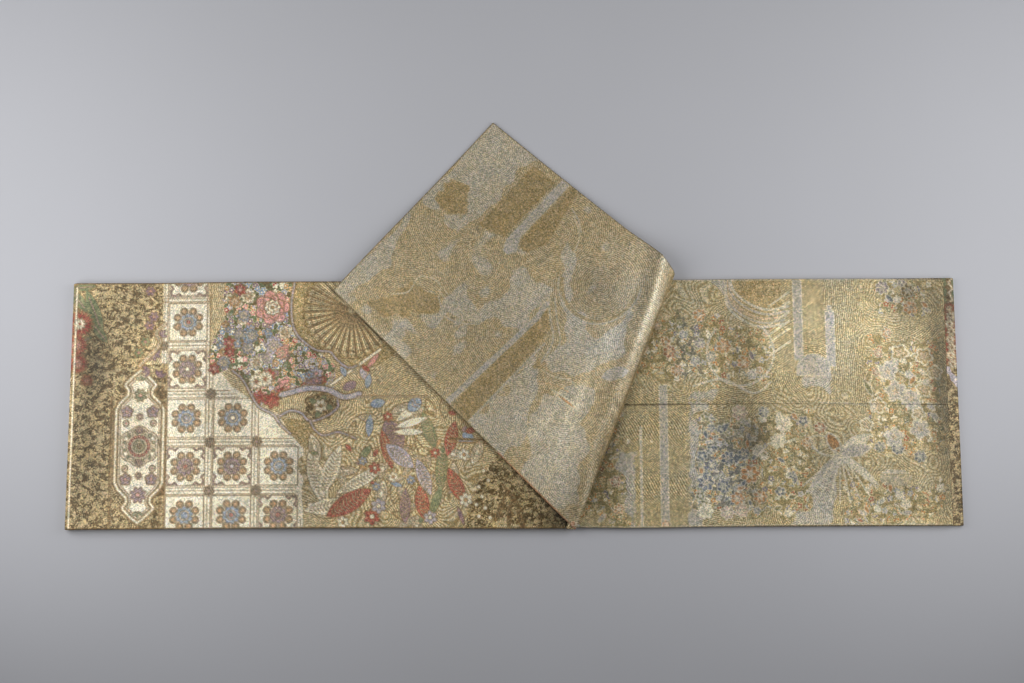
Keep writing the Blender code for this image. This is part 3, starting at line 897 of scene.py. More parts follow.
# Soft ridges that the folding left in the upper layers: both ends, half width and height.
RIDGES = (
    ((500, -150), (508, 150), 34, 1.5), ((62, 7), (380, 4), 9, 0.8),
    ((62, -12), (400, -10), 9, 0.7), ((150, 130), (262, 34), 24, 0.8),
    ((292, -146), (420, -62), 30, 1.0), ((352, 150), (392, 22), 20, 0.8),
    ((226, -150), (246, -40), 18, 0.6), ((436, 140), (452, -20), 22, 0.8),
    ((-541, -146), (-536, 146), 13, 0.9), ((-470, 128), (-306, 66), 28, 0.7),
    ((-424, -132), (-236, -92), 26, 0.8), ((-330, -30), (-190, 30), 22, 0.6),
    ((-250, 14), (-96, 15), 7, 0.4), ((-250, 3), (-96, 4), 7, 0.4),
    ((-160, -140), (-96, -40), 24, 0.8),
)


def ridge(x, y, first, last, half_width, height):
    """One soft ridge, a little uneven along its length and fading at both ends."""
    dx, dy = last[0] - first[0], last[1] - first[1]
    length = math.hypot(dx, dy)
    along = ((x - first[0]) * dx + (y - first[1]) * dy) / length
    aside = ((x - first[0]) * dy - (y - first[1]) * dx) / length
    aside = aside + 0.12 * half_width * np.sin(along / 19 + first[0])
    fade = smooth(along / 30) * smooth((length - along) / 30)
    height = height * fade * (1 + 0.25 * np.sin(along / 31 + first[1]))
    return height * smooth(1 - np.abs(aside) / half_width)


def swell(x, y):
    """How far the upper layers are lifted off the lower ones."""
    lifts = [
        height * smooth(1 - np.hypot((x - x0) / along, (y - y0) / across))
        for x0, y0, along, across, height in SWELLS
    ]
    return sum(lifts) + sum(ridge(x, y, *place) for place in RIDGES)


def stretch(edges, across, layer, flat_x, below):
    """A layer's middle from its right end, round its left fold and a little way back."""
    centre = left_centre(across)
    turn = np.linspace(0, math.pi, TURN_STEPS + 1)[:, None]
    radius = (level(layer) - level(below)) / 2
    y = edge_y(edges, flat_x, across)
    flat_z = level(layer) + swell(flat_x, y)
    turned_x = centre - radius * np.sin(turn)
    turned_z = np.broadcast_to(level(below) + radius * (1 + np.cos(turn)), turned_x.shape)
    back = centre + np.array([[2.5], [5.0]])
    x = np.concatenate([flat_x, turned_x, back])
    z = np.concatenate([flat_z, turned_z, np.full_like(back, level(below))])
    s = np.concatenate([flat_x, centre - radius * turn, 2 * centre - math.pi * radius - back])
    return grid(edges, across, x, z, s)


def under_x(across, fine):
    """Rows from the tail end to the left fold; the covered ones lie further apart."""
    right, left = mix(*TAIL_END, across / WIDTH), left_centre(across)
    rim = np.array(EDGE_COLUMNS)[:, None]
    shown = np.linspace(3, UNDER_SHOWN, 284 if fine else 30)[:, None]
    hidden = np.linspace(0, 1, 44)[1:-1, None]
    return np.concatenate([right - rim, right - shown, mix(right - UNDER_SHOWN, left, hidden)])


face_brocade = brocade("face_brocade", FACE_PALETTE)
back_brocade = brocade("back_brocade", BACK_PALETTE)
end_brocade = brocade("end_brocade", END_PALETTE)

across = across_steps(COARSE)
middle = stretch(UNDER_EDGES, across, 2, under_x(across, False), 1)
under_face, flat = cloth_shell("under_face", *middle, DOWN)
dye(under_face, flat)
across = across_steps(1.7)
middle = stretch(UNDER_EDGES, across, 2, under_x(across, True), 1)
under_back, flat = cloth_shell("under_back", *middle, UP)

# A brown line along both long edges, from this distance off the middle.
EDGE_LINE = 154.2

# The back of a garden: silver stripes and a striped screen, flowers in heaps, and a tied bow.
# The silks show only where they float across the back.
cloth = blank_design(flat)
GREY_PARTS = (
    [(228, 158), (212, 112), (224, 96), (252, 104), (272, 112), (270, 158)],
    [(220, 0), (246, 4), (244, -70), (232, -156), (216, -156)],
    [(216, 26), (262, 24), (250, 2), (216, 2)],
    [(405, -66), (370, -80), (352, -112), (342, -158), (392, -158), (402, -110)],
    [(406, -66), (440, -96), (436, -120), (404, -112)],
    [(120, -60), (153, -60), (150, -156), (116, -156)],
)
patches(cloth, "tiles", GREY_PARTS, 7, 3, 10)
for x0, x1, bottom, top in (
    (353, 364, 52, 158), (393, 404, 44, 114), (396, 401, 114, 121), (157, 159.5, -156, -30),
    (182, 192, -156, 22), (171, 173, -50, -48),
):
    weave_in(cloth, "silver", box(x0, x1, bottom, top))
weave_in(cloth, "silver", within(disc(21), lambda x, y: -y - 6), (376, 38), 26)
weave_in(cloth, "tiles", field([
    (355, 34), (398, 34), (398, 0), (384, -2), (362, 20),
]), ragged=(6, 3, 3))

# Curling lines nearly everywhere, and heaps of flowers over them.
CURLED_PARTS = (
    [(436, 90), (470, 104), (540, 60), (540, -156), (410, -156), (400, -90), (440, -50)],
    [(300, -156), (350, -110), (400, -70), (436, -40), (420, 12), (330, 16), (296, -40)],
    [(150, 20), (200, 10), (330, 28), (322, 110), (240, 156), (140, 140)],
    [(440, 100), (540, 84), (540, 158), (440, 158)],
)
patches(cloth, "scroll", CURLED_PARTS, 12, 8, 40)

# Each heap: its extent, its colours, and the number of its leaves and blossoms.
HEAPS = (
    (150, 268, 30, 108, ("orange", "cream", "mauve", "silver", "green", "bronze"), 9),
    (228, 300, -130, -18, ("blue", "orange", "blue", "green", "blue", "silver"), 55),
    (300, 368, -140, -14, ("cream", "green", "orange", "blue", "blue", "cream"), 22),
    (250, 322, 30, 98, ("orange", "green", "blue", "silver", "mauve", "silver"), 8),
    (440, 536, -60, 76, ("silver", "cream", "silver", "silver", "cream", "orange"), 12),
    (452, 522, 108, 152, ("mauve", "green", "blue", "silver", "orange", "silver"), 6),
    (410, 530, -150, -104, ("cream", "silver", "orange", "cream", "silver", "red"), 10),
    (60, 132, -150, 0, ("orange", "silver", "brown", "silver", "red", "brown"), 8),
)
chance = np.random.default_rng(11)
for left, right, bottom, top, inks, count in HEAPS:
    weave_in(cloth, "floral", box(left, right, bottom, top), ragged=(16, 14, left))
    for k in range(count):
        place = (chance.uniform(left, right), chance.uniform(bottom, top))
        turn, ink, size = chance.uniform(0, 6.3), inks[k % 6], chance.uniform(0.7, 1.2)
        if ink in GROUNDS:
            continue
        if k % 3:
            weave_in(cloth, ink, leaf(12 * size, 2.6 * size), place, 12, turn)
        else:
            heart = "cream" if ink == "silver" else "silver"
            blossom(cloth, place, 6 * size, ink, heart, 5, turn)
for x0, y0, radius, ink, heart in (
    (235, 110, 9, "orange", "cream"), (196, 64, 9, "red", "orange"), (264, 70, 10, "orange", "red"),
    (289, 49, 9, "orange", "cream"), (293, -91, 12, "orange", "cream"),
    (277, -121, 9, "orange", "cream"), (305, -119, 9, "orange", "cream"),
    (337, -29, 11, "cream", "orange"), (126, -98, 7, "red", "cream"),
    (282, -14, 10, "pink", "cream"), (237, -136, 10, "cream", "orange"),
    (264, -138, 9, "pink", "cream"), (282, -136, 9, "pink", "cream"),
    (329, -50, 10, "cream", "green"), (304, -62, 8, "cream", "blue"),
    (266, -71, 9, "blue", "orange"), (286, -66, 8, "blue", "orange"),
    (238, -101, 11, "blue", "orange"), (246, -79, 8, "blue", "cream"),
    (260, -106, 9, "blue", "cream"), (312, -14, 7, "blue", "cream"), (214, 85, 6, "blue", "cream"),
    (248, 57, 7, "blue", "cream"), (234, 74, 7, "mauve", "cream"), (382, -34, 8, "red", "cream"),
    (366, -52, 7, "orange", "cream"), (188, -152, 6, "red", "cream"),
    (130, -132, 7, "orange", "cream"), (205, 40, 8, "orange", "pink"),
    (181, 98, 6, "orange", "cream"), (466, 144, 9, "mauve", "brown"),
    (498, 140, 9, "brown", "mauve"), (500, 118, 9, "orange", "green"),
    (470, 86, 7, "orange", "cream"), (458, 60, 6, "red", "cream"), (455, 36, 6, "red", "cream"),
    (478, -60, 8, "blue", "cream"), (505, -70, 8, "blue", "cream"), (456, -58, 7, "blue", "silver"),
):
    weave_in(cloth, ink, scallops(radius, 7, 0.3), (x0, y0), radius)
    heart_petals = petals(6, 0.12 * radius, 0.5 * radius, 0.07 * radius)
    weave_in(cloth, heart, heart_petals, (x0, y0), radius)
for x0, y0, radius in (
    (469, 37, 13), (478, 12, 14), (497, 2, 13), (513, 14, 11), (485, 60, 12), (515, 56, 12),
    (528, 36, 10), (455, -6, 11), (506, -36, 13), (474, -46, 13), (505, -16, 9), (440, -30, 9),
):
    outline = scallops(radius, 5, 0.34)
    weave_in(cloth, "silver" if radius > 12 else "bronze", outline, (x0, y0), radius, x0)
    weave_in(cloth, "cream", drawn(outline, 1.8, -0.8), (x0, y0), radius, x0)
    weave_in(cloth, "orange", petals(5, 0, 0.4 * radius, 0.08 * radius), (x0, y0), radius, x0)

# Outlines: a bowl's rim, a round fan, the bow with its ties, and a striped oval.
bowl = curved([(269, 150), (270, 122), (289, 103), (314, 94), (340, 98)])
weave_in(cloth, "bronze", field(bowl + [(340, 158), (269, 158)]))
for shift, ink in ((0, "silver"), (5, "mauve"), (10, "orange"), (16, "mauve"), (22, "silver")):
    weave_in(cloth, ink, line([(x + 0.3 * shift, y + shift) for x, y in bowl], 2.2))
weave_in(cloth, "silver", within(ring(42, 1.6), lambda x, y: y - 30), (285, 62), 48)
weave_in(cloth, "silver", line(curved([(225, 20), (262, 28), (300, 10), (322, 24)]), 1.8))
BOW = (406, -66)
for angle, length, width, ink in (
    (2.65, 42, 11, "bronze"), (0.55, 44, 8, "cream"), (0.2, 40, 7, "silver"),
    (2.1, 30, 7, "orange"), (-2.3, 60, 5, "silver"), (-0.7, 58, 4, "cream"),
):
    middle = beside(BOW, angle, 0.5 * length)
    if ink not in GROUNDS:
        weave_in(cloth, ink, leaf(length, width), middle, length, angle)
    weave_in(cloth, "silver", drawn(leaf(length, width), 1.4), middle, length, angle)
for k in range(9):
    rib = ray(math.radians(-140 + 12 * k), 8, 62)
    weave_in(cloth, "cream" if k % 2 else "silver", line(rib, 1.2), BOW, 66)
weave_in(cloth, "silver", ring(7, 2), BOW, 12)
weave_in(cloth, "bronze", lambda x, y: np.hypot(x / 19, y / 11) * 11 - 11, (474, -96), 22)
for dy in (-8, -4.5, -1, 2.5, 6, 9):
    reach_x = 19 * math.sqrt(max(0.1, 1 - (dy / 11.5) ** 2))
    stripe = line([(-reach_x, dy), (reach_x, dy - 1)], 1.3)
    weave_in(cloth, "brown" if dy < 3 else "silver", stripe, (474, -96), 24)
weave_in(cloth, "green", leaf(24, 3), (444, 16), 14, -1.1)
weave_in(cloth, "cream", line([(324, -56), (350, -48)], 2))
weave_in(cloth, "brown", line([(384, -2), (440, -5)], 1.2))

# Fine lines ripple from the flowers; the screen's lines are upright, the bright cloth's slanting.
lines_round(cloth, [
    (120, -40), (200, 60), (285, 62), (240, 130), (266, -80), (330, -40), BOW, (490, 10),
    (474, -96), (376, 38), (480, 130), (350, -140),
])
x0, y0 = flat.T
screen = (x0 > 400) & (x0 < 441) & (y0 > -20)
slanting = ((x0 > 318) & (x0 < 353) & (y0 > 40)) | ((x0 > 365) & (x0 < 391) & (y0 > 78))
for part, hatch in (
    (screen, x0 + 1.2 * np.sin(y0 / 9)),
    (slanting, 0.55 * x0 - 0.83 * y0),
    ((x0 < 216) & (y0 < -2), 0.7 * x0 + 0.7 * y0 + 4 * np.sin(y0 / 11)),
):
    cloth["hatch"] = np.where(part, hatch, cloth["hatch"])
for y1 in (120, 96, 108, 132, 70, 86):
    weave_in(cloth, "cream", line([(322, y1 - 12), (348, y1 + 6)], 1.5))
# Soft spots of painted light and shade where the cloth's swells and dips catch or lose the light,
# among them a dark band where it dips near its end.
lighten(
    cloth,
    (0.1, 450, 90, 60, 70), (0.26, 335, 90, 46, 90), (0.12, 236, -30, 40, 160),
    (-0.75, 537, 0, 38, 330), (-0.16, 350, -60, 220, 140), (-0.5, 98, -90, 60, 120),
    (-0.36, 285, -50, 56, 110), (-0.34, 286, 60, 40, 100), (0.1, 376, 60, 30, 90),
    (-0.12, 180, 80, 70, 80), (0.26, 418, 90, 50, 80), (-0.34, 396, -80, 70, 90),
    (-0.3, 484, -110, 64, 70), (-0.4, 500, 130, 40, 60), (-0.2, 500, -30, 30, 80),
    (-0.34, 302, -46, 34, 44), (-0.26, 296, -116, 36, 44), (0.14, 464, 80, 40, 90),
    (0.2, 374, 112, 24, 50),
)
# Painted shade beside the flap, where it keeps light off the cloth, and painted light that makes
# the near side a little brighter.
beside_flap = line([(193, 175), (73, -157)], 0)(*flat.T)
cloth["painted_light_and_tone"] -= smooth(1 - beside_flap / 20) * mix(-0.2, 0.42, smooth((y0 + 100) / 70))
low_part = smooth((20 - y0) / 60) * smooth((y0 + 170) / 60)
cloth["painted_light_and_tone"] -= 0.2 * smooth(1 - beside_flap / 60) * low_part
cloth["painted_light_and_tone"] += 0.035 - 0.0007 * y0
# A pressed crease along the middle, darkened as painted shade and a shallow trough in the bump,
# narrowing towards the right.
cloth["crease"] = (y0 + 2.4 + 0.006 * (x0 - 140)) * (1 + 4 * smooth((x0 - 196) / 120))
weave_in(cloth, "brown", lambda x, y: EDGE_LINE - np.abs(y))
cloth["tint"] += 0.8 * smooth(1.2 - np.hypot((x0 - 252) / 62, (y0 + 90) / 90))
cloth["tint"] -= 0.5 * smooth((x0 - 505) / 30)
for place, width, amount in ((412, 26, 0.9), (222, 22, 0.6), (484, 26, 0.2)):
    cloth["tint"] += amount * smooth(1.2 - np.abs(x0 - place) / width) * smooth((y0 - 16) / 20)
dye(under_back, flat, cloth)

for piece, node, material, slot in (
    (under_face, "under_face_cloth", lower_face_brocade, "face_brocade"),
    (under_back, "under_back_cloth", back_brocade, "back_brocade"),
):
    piece.data.materials.append(material)
    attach(piece, "root")
    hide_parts(node)


# ---- The top stretch -------------------------------------------------------------------------
# The fourth layer, face cloth up: it comes from the outer fold at the left, and turns over on
# itself along a slanting fold. Its left half lies open to view.

TOP_EDGES = (
    (-560, -450, -330, -150, -60, 60, 220),
    (-154.2, -154.2, -153.9, -154.5, -155.6, -156.2, -156.6),
    (155.6, 155.2, 156.4, 156.0, 155.8, 155.8, 156.0),
)
# The flap's corners at the sash's end, where its edges meet the fold, and the fold's outer line.
FLAP_END = ((-226.8, 144.4), (-24.5, 364.2))
FLAP_BEND = ((72.3, -155.5), (193.5, 180.5))
NOSE_LOWER, NOSE_UPPER = (76.4, -155.6), (205.3, 164.9)
# The slanting fold's section at five places across: how far its crest lies back, the radius of its
# nose, the slope between them in degrees, and the run from the flap up to the crest.
FOLD_STATIONS = (0.00, 0.25, 0.50, 0.75, 1.00)
FOLD_SETBACK = (5.0, 9.5, 14.0, 18.0, 22.0)
FOLD_RADIUS = (2.1, 3.1, 4.2, 5.3, 6.4)
FOLD_SLOPE = (20, 22, 24, 25, 25)
FOLD_RUN = (25, 36, 46, 56, 66)
# How far the cloth reaches back under the fold, and where the top stretch comes out to view.
FOLD_TUCK = 9
TOP_OPEN = 55

FOLD_ALONG = np.subtract(NOSE_UPPER, NOSE_LOWER) / math.dist(NOSE_LOWER, NOSE_UPPER)
FOLD_OUT = np.array([FOLD_ALONG[1], -FOLD_ALONG[0]])
NOSE_OUT = float(np.dot(NOSE_LOWER, FOLD_OUT)) - LAYER / 2


def fold_section(across):
    """The slanting fold's section at each place across: setback, radius, slope, run, the crest's
    wide radius and its height over the top layer's middle."""
    setback, radius, slope, run = (
        np.interp(across / WIDTH, FOLD_STATIONS, values)
        for values in (FOLD_SETBACK, FOLD_RADIUS, FOLD_SLOPE, FOLD_RUN)
    )
    slope = np.radians(slope)
    wide = (setback - radius * (1 - np.sin(slope))) / np.sin(slope)
    height = wide * (1 - np.cos(slope)) + radius * (1 + np.cos(slope))
    return setback, radius, slope, run, wide, height


def top_end(across):
    """Where the top stretch stops under the slanting fold, found in a few rounds."""
    out = NOSE_OUT - fold_section(across)[1] - FOLD_TUCK
    x = np.zeros_like(across)
    for _ in range(8):
        x = (out - edge_y(TOP_EDGES, x, across) * FOLD_OUT[1]) / FOLD_OUT[0]
    return x, edge_y(TOP_EDGES, x, across)


def top_x(across, fine):
    """Rows from the slanting fold to the left fold; the covered ones lie further apart."""
    right = top_end(across)[0] - GAP / FOLD_OUT[0]
    left = left_centre(across)
    hidden = mix(right, TOP_OPEN, np.linspace(0, 1, 12)[:-1, None])
    shown = np.linspace(0, 1, 379 if fine else 50)[:-1, None]
    return np.concatenate([hidden, mix(TOP_OPEN, left, shown)])


across = across_steps(COARSE)
middle = stretch(TOP_EDGES, across, 3, top_x(across, False), 0)
top_back, flat = cloth_shell("top_back", *middle, DOWN)
dye(top_back, flat)
across = across_steps(1.6)
middle = stretch(TOP_EDGES, across, 3, top_x(across, True), 0)
top_face, flat = cloth_shell("top_face", *middle, UP)

# The face's design: garden leaves at the left end, a lattice of tiled rosettes with a pointed
# panel beside it, then flowers, a folding fan with cords, and a patch of leaves and plumes.
cloth = blank_design(flat)
weave_in(cloth, "tiles", field([
    (-500, -156), (-246, -156), (-258, -110), (-262, -52), (-272, -28), (-292, -14), (-320, 0),
    (-352, 22), (-380, 60), (-384, 156), (-441, 156), (-441, 40), (-500, 40),
]))
garden = [
    (-700, -156), (-500, -156), (-500, 40), (-470, 50), (-450, 72), (-456, 82), (-440, 100),
    (-441, 156), (-700, 156),
]
weave_in(cloth, "foliage", field(garden))

# The lattice: triple lines between tiles, a small flower at each crossing, and a rosette in each
# tile, every other one with brackets in its corners.
COLUMNS = (-408.5, -350.5, -292.5)
ROWS = (-138.5, -78, -17.5, 44.5, 104.5, 161)
TILE = 60.2
LATTICE_EDGE = [
    (-441, 156), (-441, -156), (-262, -156), (-272, -110), (-272, -52), (-284, -28), (-304, -14),
    (-330, 0), (-362, 22), (-380, 60), (-380, 156),
]
in_lattice = field(LATTICE_EDGE)
TRIPLE = (-4.2, 0, 4.2)
upright = [column - TILE / 2 + offset for column in COLUMNS + (-234.5,) for offset in TRIPLE]
level_bars = [row + TILE / 2 + offset for row in ROWS for offset in TRIPLE]
bars = [[(x0, -156), (x0, 156)] for x0 in upright]
bars += [[(-441, y0), (-230, y0)] for y0 in level_bars]
for bar in bars:
    weave_in(cloth, "orange", within(line(bar, 0.4), in_lattice))


def distance_at(shape, x0, y0):
    """A shape's distance at one place."""
    return shape(np.array([x0]), np.array([y0]))[0]


BRACKET = [(23, 10), (20, 13), (23, 17), (22, 22), (17, 23), (13, 20), (10, 23)]
hearts = ("red", "blue", "red", "silver", "cream")
number = 0
for i, column in enumerate(COLUMNS):
    for j, row in enumerate(ROWS):
        if distance_at(in_lattice, column, min(row, 140)) > -12:
            continue
        number += 1
        place = (column, row)
        frame_line = drawn(lambda x, y: np.maximum(np.abs(x), np.abs(y)) - 24, 0.7)
        weave_in(cloth, "brown", frame_line, place, 30)
        if (i + j) % 2 == (i == 0):
            for k in range(4):
                weave_in(cloth, "mauve", line(BRACKET, 2.0), place, 30, k * math.pi / 2)
        for k in range(8):
            lobe = beside(place, k * math.pi / 4 + 0.39, 14.6)
            weave_in(cloth, "brown", disc(4.7), lobe, 6)
            weave_in(cloth, "orange", disc(3.1), lobe, 6)
        rosette, centre_ring = (("mauve", "silver"), ("blue", "cream"))[number % 2]
        weave_in(cloth, rosette, petals(9, 1.5, 11.6, 3.4), place, 13, 0.2 * number)
        weave_in(cloth, centre_ring, ring(5.6, 1.3), place, 8)
        weave_in(cloth, hearts[number % 5], disc(2.8), place, 6)
for column in COLUMNS:
    for row in ROWS[:-1]:
        crossing = (column + TILE / 2, row + TILE / 2)
        if distance_at(in_lattice, *crossing) < -5:
            weave_in(cloth, "brown", petals(8, 1.5, 7.2, 1.9), crossing, 8)
            weave_in(cloth, "mauve", disc(1.8), crossing, 8)
for row in (74.5, 13, -48, -108.5):
    weave_in(cloth, "brown", petals(8, 1.5, 6, 1.7), (-438.6, row), 8)

# The pointed panel: a double outline, a medallion, four mauve flowers and a pink one at each end.
HALF_PANEL = [(0, 98), (8, 92), (20, 80), (21.5, 76), (16.5, 70), (17, 65), (27, 55), (31.5, 46)]
half = HALF_PANEL + [(x, -y) for x, y in reversed(HALF_PANEL)]
panel = field(half + [(-x, y) for x, y in reversed(half)])
middle = (-466.5, -52)
strip = within(lambda x, y: np.abs(x) - 33, lambda x, y: np.abs(y + 1) - 105)
weave_in(cloth, "foliage", strip, middle, 110)
weave_in(cloth, "tiles", panel, middle, 110)
for inset, ink, width in (
    (-1.8, "scroll", 5), (-2, "cream", 3.2), (0.9, "brown", 1.3), (-4.8, "brown", 1.3),
    (-7.4, "orange", 0.9),
):
    weave_in(cloth, ink, drawn(panel, width, inset), middle, 110)
for dx in (-33.5, 33.5, -36, 26.5):
    weave_in(cloth, "brown", line([(dx, -104), (dx, 90 if dx > 0 else 62)], 0.9), middle, 200)
for radius, ink in ((25.6, "brown"), (24.6, "cream"), (22.4, "brown"), (21.4, "cream")):
    weave_in(cloth, ink, scallops(radius, 6, 0.12), middle, 28, 0.52)
weave_in(cloth, "green", petals(12, 15, 21, 2.4), middle, 28, 0.26)
for radius, ink in (
    (16.6, "brown"), (15.6, "cream"), (14.2, "red"), (9.6, "cream"), (8.2, "green"), (3, "brown"),
):
    weave_in(cloth, ink, disc(radius), middle, 18)
weave_in(cloth, "pink", petals(14, 10.2, 13.6, 0.9), middle, 18)
weave_in(cloth, "cream", ring(5, 1), middle, 18)
for side_x in (-16.2, 16.2):
    for side_y in (43, -41.5):
        place = (middle[0] + side_x, middle[1] + side_y)
        weave_in(cloth, "brown", scallops(8.4, 5, 0.2), place, 9, 0.3)
        blossom(cloth, place, 7.6, "mauve", "pink", 5, 0.3)
        place = (middle[0] + side_x * 1.06, middle[1] + side_y * 0.67)
        weave_in(cloth, "brown", ring(3.6, 1.2), place, 6)
        weave_in(cloth, "pink", disc(1.6), place, 6)
for y, radius, ink, heart in (
    (64, 8.5, "green", "pink"), (-61, 10.5, "mauve", "pink"), (37, 4.6, "mauve", "cream"),
    (-37, 4.6, "mauve", "cream"), (20, 5.5, "mauve", "pink"), (-21, 5.5, "mauve", "pink"),
):
    blossom(cloth, (middle[0], middle[1] + y), radius, ink, heart, 8, 0.39)
for y, turn in ((82, 0), (-81, math.pi)):
    for angle in (-0.9, 0, 0.9):
        stalk = math.pi / 2 + turn + angle
        place = beside((middle[0], middle[1] + y), stalk, 5)
        weave_in(cloth, "green", leaf(9, 1.8), place, 8, stalk)

# The garden at the left end: a curling border line, red chrysanthemums and teal leaves.
for x0, y0, turn in (
    (-446, 88, 0.6), (-447, 60, 2.0), (-455, 44, 3.4), (-444, 34, 1.2), (-452, 66, 5.0),
):
    sprig(cloth, (x0, y0), 12, "mauve", turn)
for width, ink in ((6, "orange"), (3.6, "cream"), (1, "brown")):
    weave_in(cloth, ink, line(curved([
        (-439, 102), (-449, 92), (-444, 81), (-448, 71), (-461, 58), (-468, 50),
    ]), width))
for x0, y0, length, width, turn in (
    (-527, 118, 66, 8, -1.2), (-548, 134, 44, 7, -0.9), (-520, 92, 36, 6, -0.9),
    (-541, 150, 34, 5, 0.1), (-541, 80, 30, 5, 0.5),
):
    leaves(cloth, ("green", x0, y0, length, width, turn))
    vein = line([(-0.3 * length, 0), (0.3 * length, 0)], 1.2)
    weave_in(cloth, "silver", vein, (x0, y0), length, turn)
for x0, y0, radius in ((-545, 103, 17), (-549, 76, 15), (-546, 52, 13), (-534, 31, 7.5)):
    chrysanthemum(cloth, (x0, y0), radius, "red", "cream" if y0 > 100 else "pink")
for x0, y0 in ((-457, 145), (-452, 112), (-457, 101), (-462, 80), (-470, 66)):
    blossom(cloth, (x0, y0), 7, "mauve" if y0 > 90 else "green", "pink", 6)

# Flowers in a heap: bronze ground, green leaves, then small flowers by colour, then large ones.
heap = field([
    (-362, 156), (-366, 134), (-362, 108), (-372, 90), (-384, 62), (-376, 36), (-352, 46),
    (-338, 29), (-320, -2), (-290, 6), (-262, 16), (-225, 18), (-222, 46), (-246, 67), (-272, 88),
    (-279, 130), (-275, 156),
])
weave_in(cloth, "floral", heap)


def heart_of(ink):
    """The colour of a flower's middle."""
    return "orange" if ink == "cream" else "cream"


chance = np.random.default_rng(5)
for _ in range(24):
    x0, y0 = chance.uniform(-384, -262), chance.uniform(0, 156)
    if distance_at(heap, x0, y0) < -4:
        weave_in(cloth, "green", leaf(13, 3), (x0, y0), 8, chance.uniform(0, 6.3))
for _ in range(34):
    x0, y0 = chance.uniform(-384, -280), chance.uniform(20, 154)
    if distance_at(heap, x0, y0) < -4:
        kind = chance.uniform(0, 1)
        if math.hypot(x0 + 330, (y0 - 84) * 0.8) < 34:
            ink = "blue" if kind < 0.75 else "cream"
        elif y0 > 118:
            ink = "cream" if kind < 0.4 else "orange" if kind < 0.6 else "blue"
        else:
            ink = ("blue", "cream", "mauve", "pink", "orange")[int(kind * 5)]
        blossom(cloth, (x0, y0), chance.uniform(4.2, 6.2), ink, heart_of(ink), 5, kind * 6)
for x0, y0, radius, ink in (
    (-301, 74, 12, "silver"), (-291, 64, 8, "pink"), (-309, 57, 9, "silver"),
    (-322, 52, 9, "cream"), (-287, 90, 9, "cream"), (-334, 137, 10, "cream"),
    (-351, 130, 8, "orange"), (-339, 112, 9, "blue"), (-328, 86, 9, "blue"), (-344, 88, 8, "blue"),
    (-363, 52, 9, "blue"), (-333, 70, 8, "blue"),
):
    weave_in(cloth, ink, scallops(radius, 8, 0.3), (x0, y0), radius)
    heart_petals = petals(8, 0.2 * radius, 0.6 * radius, 0.1 * radius)
    weave_in(cloth, heart_of(ink), heart_petals, (x0, y0), radius)
for x0, y0, radius in (
    (-344, 145, 8.5), (-357, 78, 8), (-356, 66, 8), (-375, 45, 8), (-306, 36, 9), (-318, 8, 9),
    (-302, 4, 11), (-290, 14, 8),
):
    blossom(cloth, (x0, y0), radius, "red", "pink" if y0 > 30 else "red", 6, 0.4)
for x0, y0 in ((-311, 31), (-322, 28)):
    weave_in(cloth, "cream", petals(11, 1.5, 10, 2.4), (x0, y0), 12)
    weave_in(cloth, "red", petals(6, 0, 4, 0.7), (x0, y0), 12)
for x0, y0, turn in ((-292, 22, 0.5), (-286, 28, 0.2), (-284, 18, 0.8)):
    weave_in(cloth, "pink", leaf(17, 2.6), (x0, y0), 12, turn)
for size, ink, count, turn in (
    (23, "mauve", 7, 0), (22, "pink", 7, 0), (16.6, "red", 7, 0.45), (15.4, "pink", 7, 0.45),
    (11.6, "red", 8, 0.1), (10.2, "cream", 8, 0.1), (7, "red", 6, 0.4), (5.8, "cream", 6, 0.4),
    (2.4, "orange", 5, 0),
):
    weave_in(cloth, ink, scallops(size, count, 0.22), (-303, 122), 24, turn)

# The folding fan: pleats from its pivot, a speckled rim, and silk cords round it.
PIVOT = (-203, 118)
FAN_RIM = curved([
    (-275, 156), (-279, 130), (-278, 105), (-272, 88), (-260, 76), (-246, 67), (-230, 65),
    (-221, 55), (-207, 46), (-190, 44), (-165, 50), (-120, 90),
])
weave_in(cloth, "bronze", field(FAN_RIM + [(-120, 156)]))
FAN_RADIUS = 57
PLEAT = 10.5
away_x, away_y = (flat - PIVOT).T
fan_radius, fan_angle = np.hypot(away_x, away_y), np.arctan2(away_y, away_x)
cloth["bronze"] = np.maximum(cloth["bronze"], FAN_RADIUS - fan_radius)
fan_lines = (fan_angle - 1.05) % (2 * math.pi) * 42
pleated = smooth((FAN_RADIUS - fan_radius) / 3) * smooth((fan_radius - 4) / 8)
pleated *= smooth((2.2 - np.abs((fan_angle + 2.4 + math.pi) % (2 * math.pi) - math.pi)) / 0.1)
cloth["painted_light_and_tone"] += 0.34 * pleated * np.sin(fan_angle * 360 / PLEAT)
for k in range(17):
    angle = math.radians(150 + PLEAT * k)
    weave_in(cloth, "brown", line(ray(angle, 6, 56), 2.2), PIVOT, 60)
    weave_in(cloth, "brown", ring(5.2, 0.9), beside(PIVOT, angle + 0.09, FAN_RADIUS), 3)
for x0, y0, radius, ink in (
    (-254, 28, 7, "mauve"), (-247, 38, 9, "silver"), (-239, 30, 6, "red"), (-262, 22, 5, "red"),
    (-246, 28, 7, "mauve"), (-256, 36, 6, "blue"),
):
    blossom(cloth, (x0, y0), radius, ink, "pink", 6, 0.5)
weave_in(cloth, "foliage", scallops(22, 7, 0.2), (-241, -3), 24)
leaves(
    cloth, ("green", -250, 2, 16, 4, 2.4), ("green", -238, 6, 15, 4, 0.8),
    ("green", -232, -4, 15, 4, -0.3), ("green", -244, -13, 15, 4, 4.2),
)
blossom(cloth, (-241, -3), 9, "cream", "orange", 7, 0.3)
weave_in(cloth, "bronze", field([
    (-292, -16), (-254, -22), (-248, -33), (-206, -40), (-197, -44), (-262, -56), (-278, -38),
]))
weave_in(cloth, "cream", line([(-167, 68), (-229, 23)], 4))
weave_in(cloth, "cream", line([(-217, 56), (-233, 20)], 1.6))
